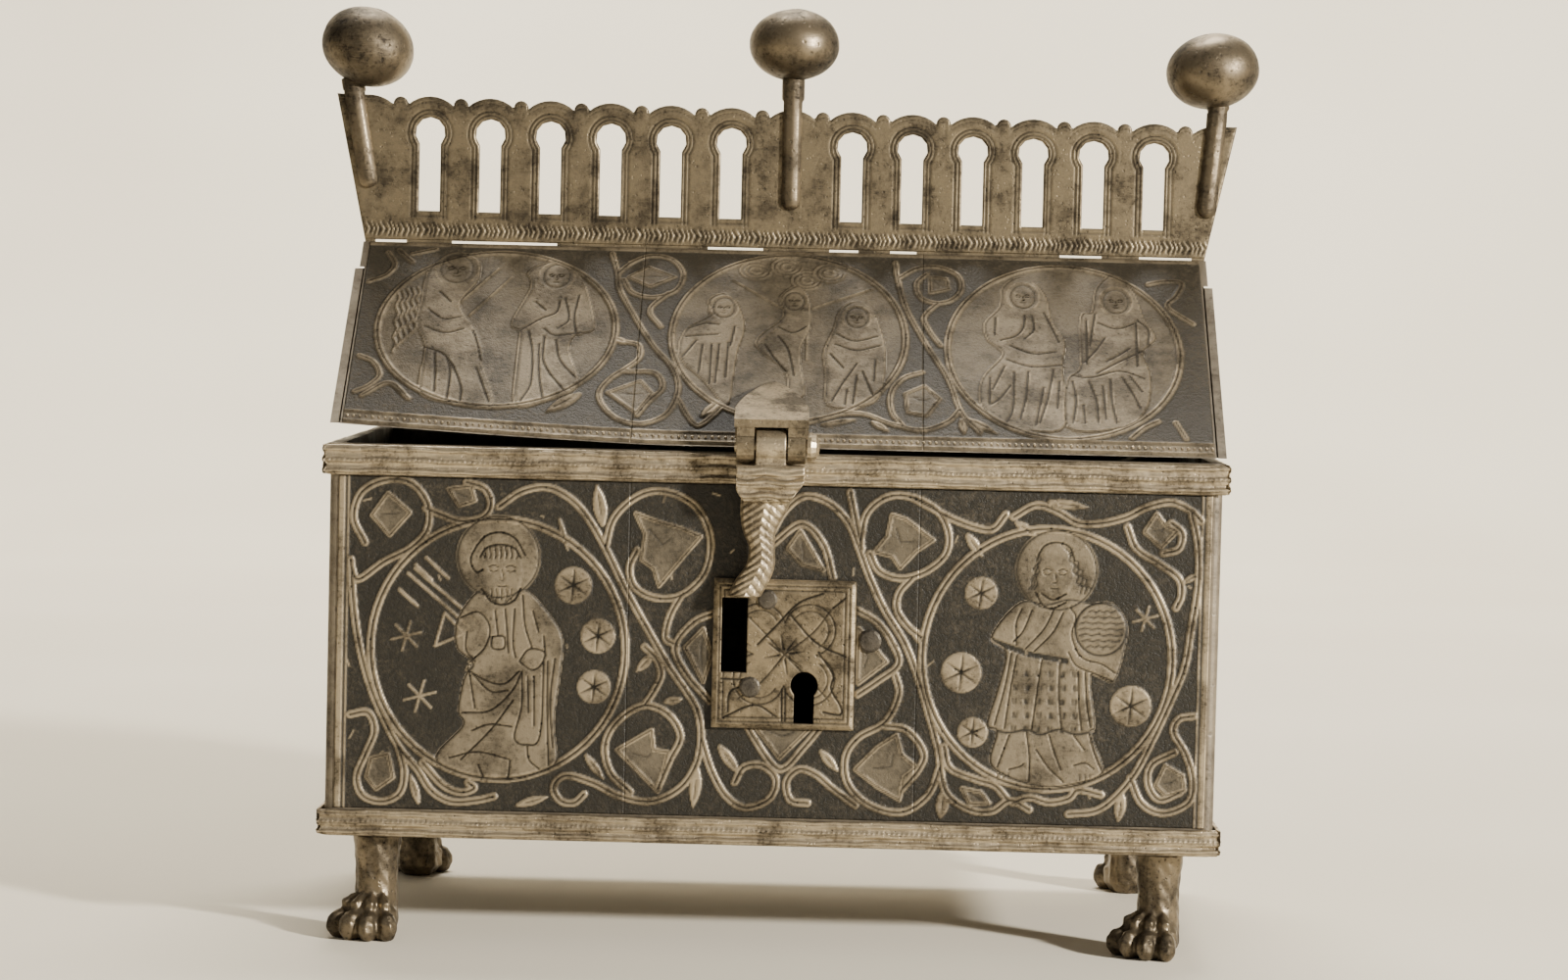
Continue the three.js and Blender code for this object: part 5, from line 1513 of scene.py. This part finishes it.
def bead_row_tree(finish):
    """Beads of one size, evenly spaced between two places."""
    tree = bpy.data.node_groups.new("bead row", "GeometryNodeTree")
    face = tree.interface
    for label, kind, value in [
        ("Start", "NodeSocketVector", (0, 0, 0)), ("End", "NodeSocketVector", (0.1, 0, 0)),
        ("Spacing", "NodeSocketFloat", 0.0009), ("Radius", "NodeSocketFloat", 0.0003),
        ("Jitter", "NodeSocketFloat", 0.3), ("Seed", "NodeSocketInt", 3),
    ]:
        face.new_socket(name=label, in_out="INPUT", socket_type=kind).default_value = value
    face.new_socket(name="Geometry", in_out="OUTPUT", socket_type="NodeSocketGeometry")
    given = put(tree, "NodeGroupInput").outputs
    line = put(tree, "GeometryNodeCurvePrimitiveLine", {"Start": given["Start"], "End": given["End"]})
    points = put(
        tree, "GeometryNodeCurveToPoints", {"Curve": line.outputs[0], "Length": given["Spacing"]},
        mode="LENGTH",
    )
    bead = put(tree, "GeometryNodeMeshIcoSphere", {"Radius": given["Radius"], "Subdivisions": 1})
    least = put(tree, "ShaderNodeMath", {0: 1.0, 1: given["Jitter"]}, operation="SUBTRACT")
    size = put(tree, "FunctionNodeRandomValue", {"Seed": given["Seed"]}, data_type="FLOAT")
    tree.links.new(least.outputs[0], size.inputs[2])
    beads = put(
        tree, "GeometryNodeInstanceOnPoints",
        {"Points": points.outputs[0], "Instance": bead.outputs[0], "Scale": size.outputs[1]},
    )
    solid = put(tree, "GeometryNodeRealizeInstances", {"Geometry": beads.outputs[0]})
    last = put(tree, "GeometryNodeSetMaterial", {"Geometry": solid.outputs[0], "Material": finish})
    result = put(tree, "NodeGroupOutput")
    tree.links.new(last.outputs[0], result.inputs[0])
    return tree


BEAD_ROW = bead_row_tree(moulding_gilt)


def bead_row(name, body, start, end, spacing, radius, seed):
    obj = bpy.data.objects.new(name + "_work", bpy.data.meshes.new(name + "_work"))
    bpy.context.scene.collection.objects.link(obj)
    row = obj.modifiers.new("row", "NODES")
    row.node_group = BEAD_ROW
    values = {"Start": start, "End": end, "Spacing": spacing, "Radius": radius, "Jitter": 0.35, "Seed": seed}
    for item in BEAD_ROW.interface.items_tree:
        if item.in_out == "INPUT":
            row[item.identifier] = values[item.name]
    piece(name, plain_mesh(obj, name), moulding_gilt, body)


for i, (left, right) in enumerate([(-77.5, -58), (-58, -39), (-39, -20), (-20, -8), (6.5, 78)]):
    ends = []
    for x in (left, right):
        up = np.array([2.3 + lift_at(x) / math.sin(ROOF_PITCH)])
        ends.append(tuple((on_slope(-1, np.array([x]), up, np.array([0.12]))[0] + MIDDLE) / 1000))
    bead_row(f"roof_edge_beads_{i + 1}", "lid", ends[0], ends[1], 0.0011, 0.00034, 7 + i)

# ---------------------------------------------------------------- finishes on the plates that carry all this

FINISHES = {
    "front_plate": plate_copper, "back_plate": plate_copper, "left_end_plate": plate_copper,
    "right_end_plate": plate_copper,
    "front_roof_plate": plate_copper, "back_roof_plate": plate_copper, "left_gable": plate_copper,
    "right_gable": plate_copper,
    "floor_plate": inside_copper, "lock_plate": lock_gilt, "crest": crest_gilt, "hasp_leaf": lock_gilt,
    "hasp": hasp_gilt,
    "hasp_pin": hasp_gilt,
}
for name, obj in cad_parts.items():
    finish = FINISHES.get(name)
    if finish is None:
        if "moulding" in name:
            finish = moulding_gilt
        elif "paw" in name:
            finish = paw_bronze
        elif "knob" in name or "stem" in name:
            finish = knob_bronze
        elif "screw" in name or "pin" in name:
            finish = iron
        else:
            finish = lock_gilt
    obj.data.materials.clear()
    obj.data.materials.append(finish)

# ---------------------------------------------------------------- floor, light and camera

paper, tree, shader = material("pale paper")
tint = blend(tree, between(tree, noise(tree, 3.0, 2.0), 0.3, 0.7), tone(226, 218, 200), tone(234, 227, 210))
tree.links.new(tint, shader.inputs["Base Color"])
shader.inputs["Roughness"].default_value = 0.95
shader.inputs["Specular IOR Level"].default_value = 0.1


def backdrop():
    """A floor that sweeps up into a wall behind."""
    mesh = bpy.data.meshes.new("backdrop")
    profile = [(-2.5, 0.0), (0.9, 0.0)]
    profile += [(0.9 + 0.6 * math.sin(a), 0.6 - 0.6 * math.cos(a)) for a in np.linspace(0.1, math.pi / 2, 12)]
    profile.append((1.5, 3.0))
    places = [(x, y, z) for y, z in profile for x in (-3.0, 3.0)]
    faces = [(2 * i, 2 * i + 1, 2 * i + 3, 2 * i + 2) for i in range(len(profile) - 1)]
    mesh.from_pydata(places, [], faces)
    for face in mesh.polygons:
        face.use_smooth = True
    obj = bpy.data.objects.new("backdrop", mesh)
    mesh.materials.append(paper)
    bpy.context.scene.collection.objects.link(obj)


backdrop()


def area_light(name, place, target, size, power, colour=(1.0, 0.95, 0.87)):
    data = bpy.data.lights.new(name, "AREA")
    data.shape = "DISK"
    data.size = size
    data.energy = power
    data.color = colour
    obj = bpy.data.objects.new(name, data)
    obj.location = place
    obj.rotation_euler = (Vector(target) - Vector(place)).to_track_quat("-Z", "Y").to_euler()
    bpy.context.scene.collection.objects.link(obj)


area_light("key", (1.0, -0.85, 0.46), (0, 0, 0.09), 0.12, 44.0)
area_light("backdrop wash", (0.0, 0.75, 1.5), (0, 1.5, 0.3), 1.0, 46.0)

world = bpy.data.worlds.new("studio")
bpy.context.scene.world = world
world.use_nodes = True
world.node_tree.nodes["Background"].inputs["Color"].default_value = (0.92, 0.87, 0.78, 1)
world.node_tree.nodes["Background"].inputs["Strength"].default_value = 0.25

YAW, PITCH, ROLL = (math.radians(angle) for angle in (0.63, 3.07, 1.35))
forward = Vector((-math.sin(YAW) * math.cos(PITCH), math.cos(YAW) * math.cos(PITCH), -math.sin(PITCH)))
level = Vector((math.cos(YAW), math.sin(YAW), 0))
above = level.cross(forward)
right = level * math.cos(ROLL) + above * math.sin(ROLL)
upward = above * math.cos(ROLL) - level * math.sin(ROLL)
camera_data = bpy.data.cameras.new("camera")
camera_data.sensor_width = 36
camera_data.lens = 91.1
camera_data.clip_start = 0.01
camera = bpy.data.objects.new("camera", camera_data)
standing = Matrix.Translation(((9.27 + MIDDLE[0]) / 1000, (-752 + MIDDLE[1]) / 1000, 0.1212))
camera.matrix_world = standing @ Matrix((
    (right.x, upward.x, -forward.x, 0),
    (right.y, upward.y, -forward.y, 0),
    (right.z, upward.z, -forward.z, 0),
    (0, 0, 0, 1),
))
bpy.context.scene.collection.objects.link(camera)
bpy.context.scene.camera = camera
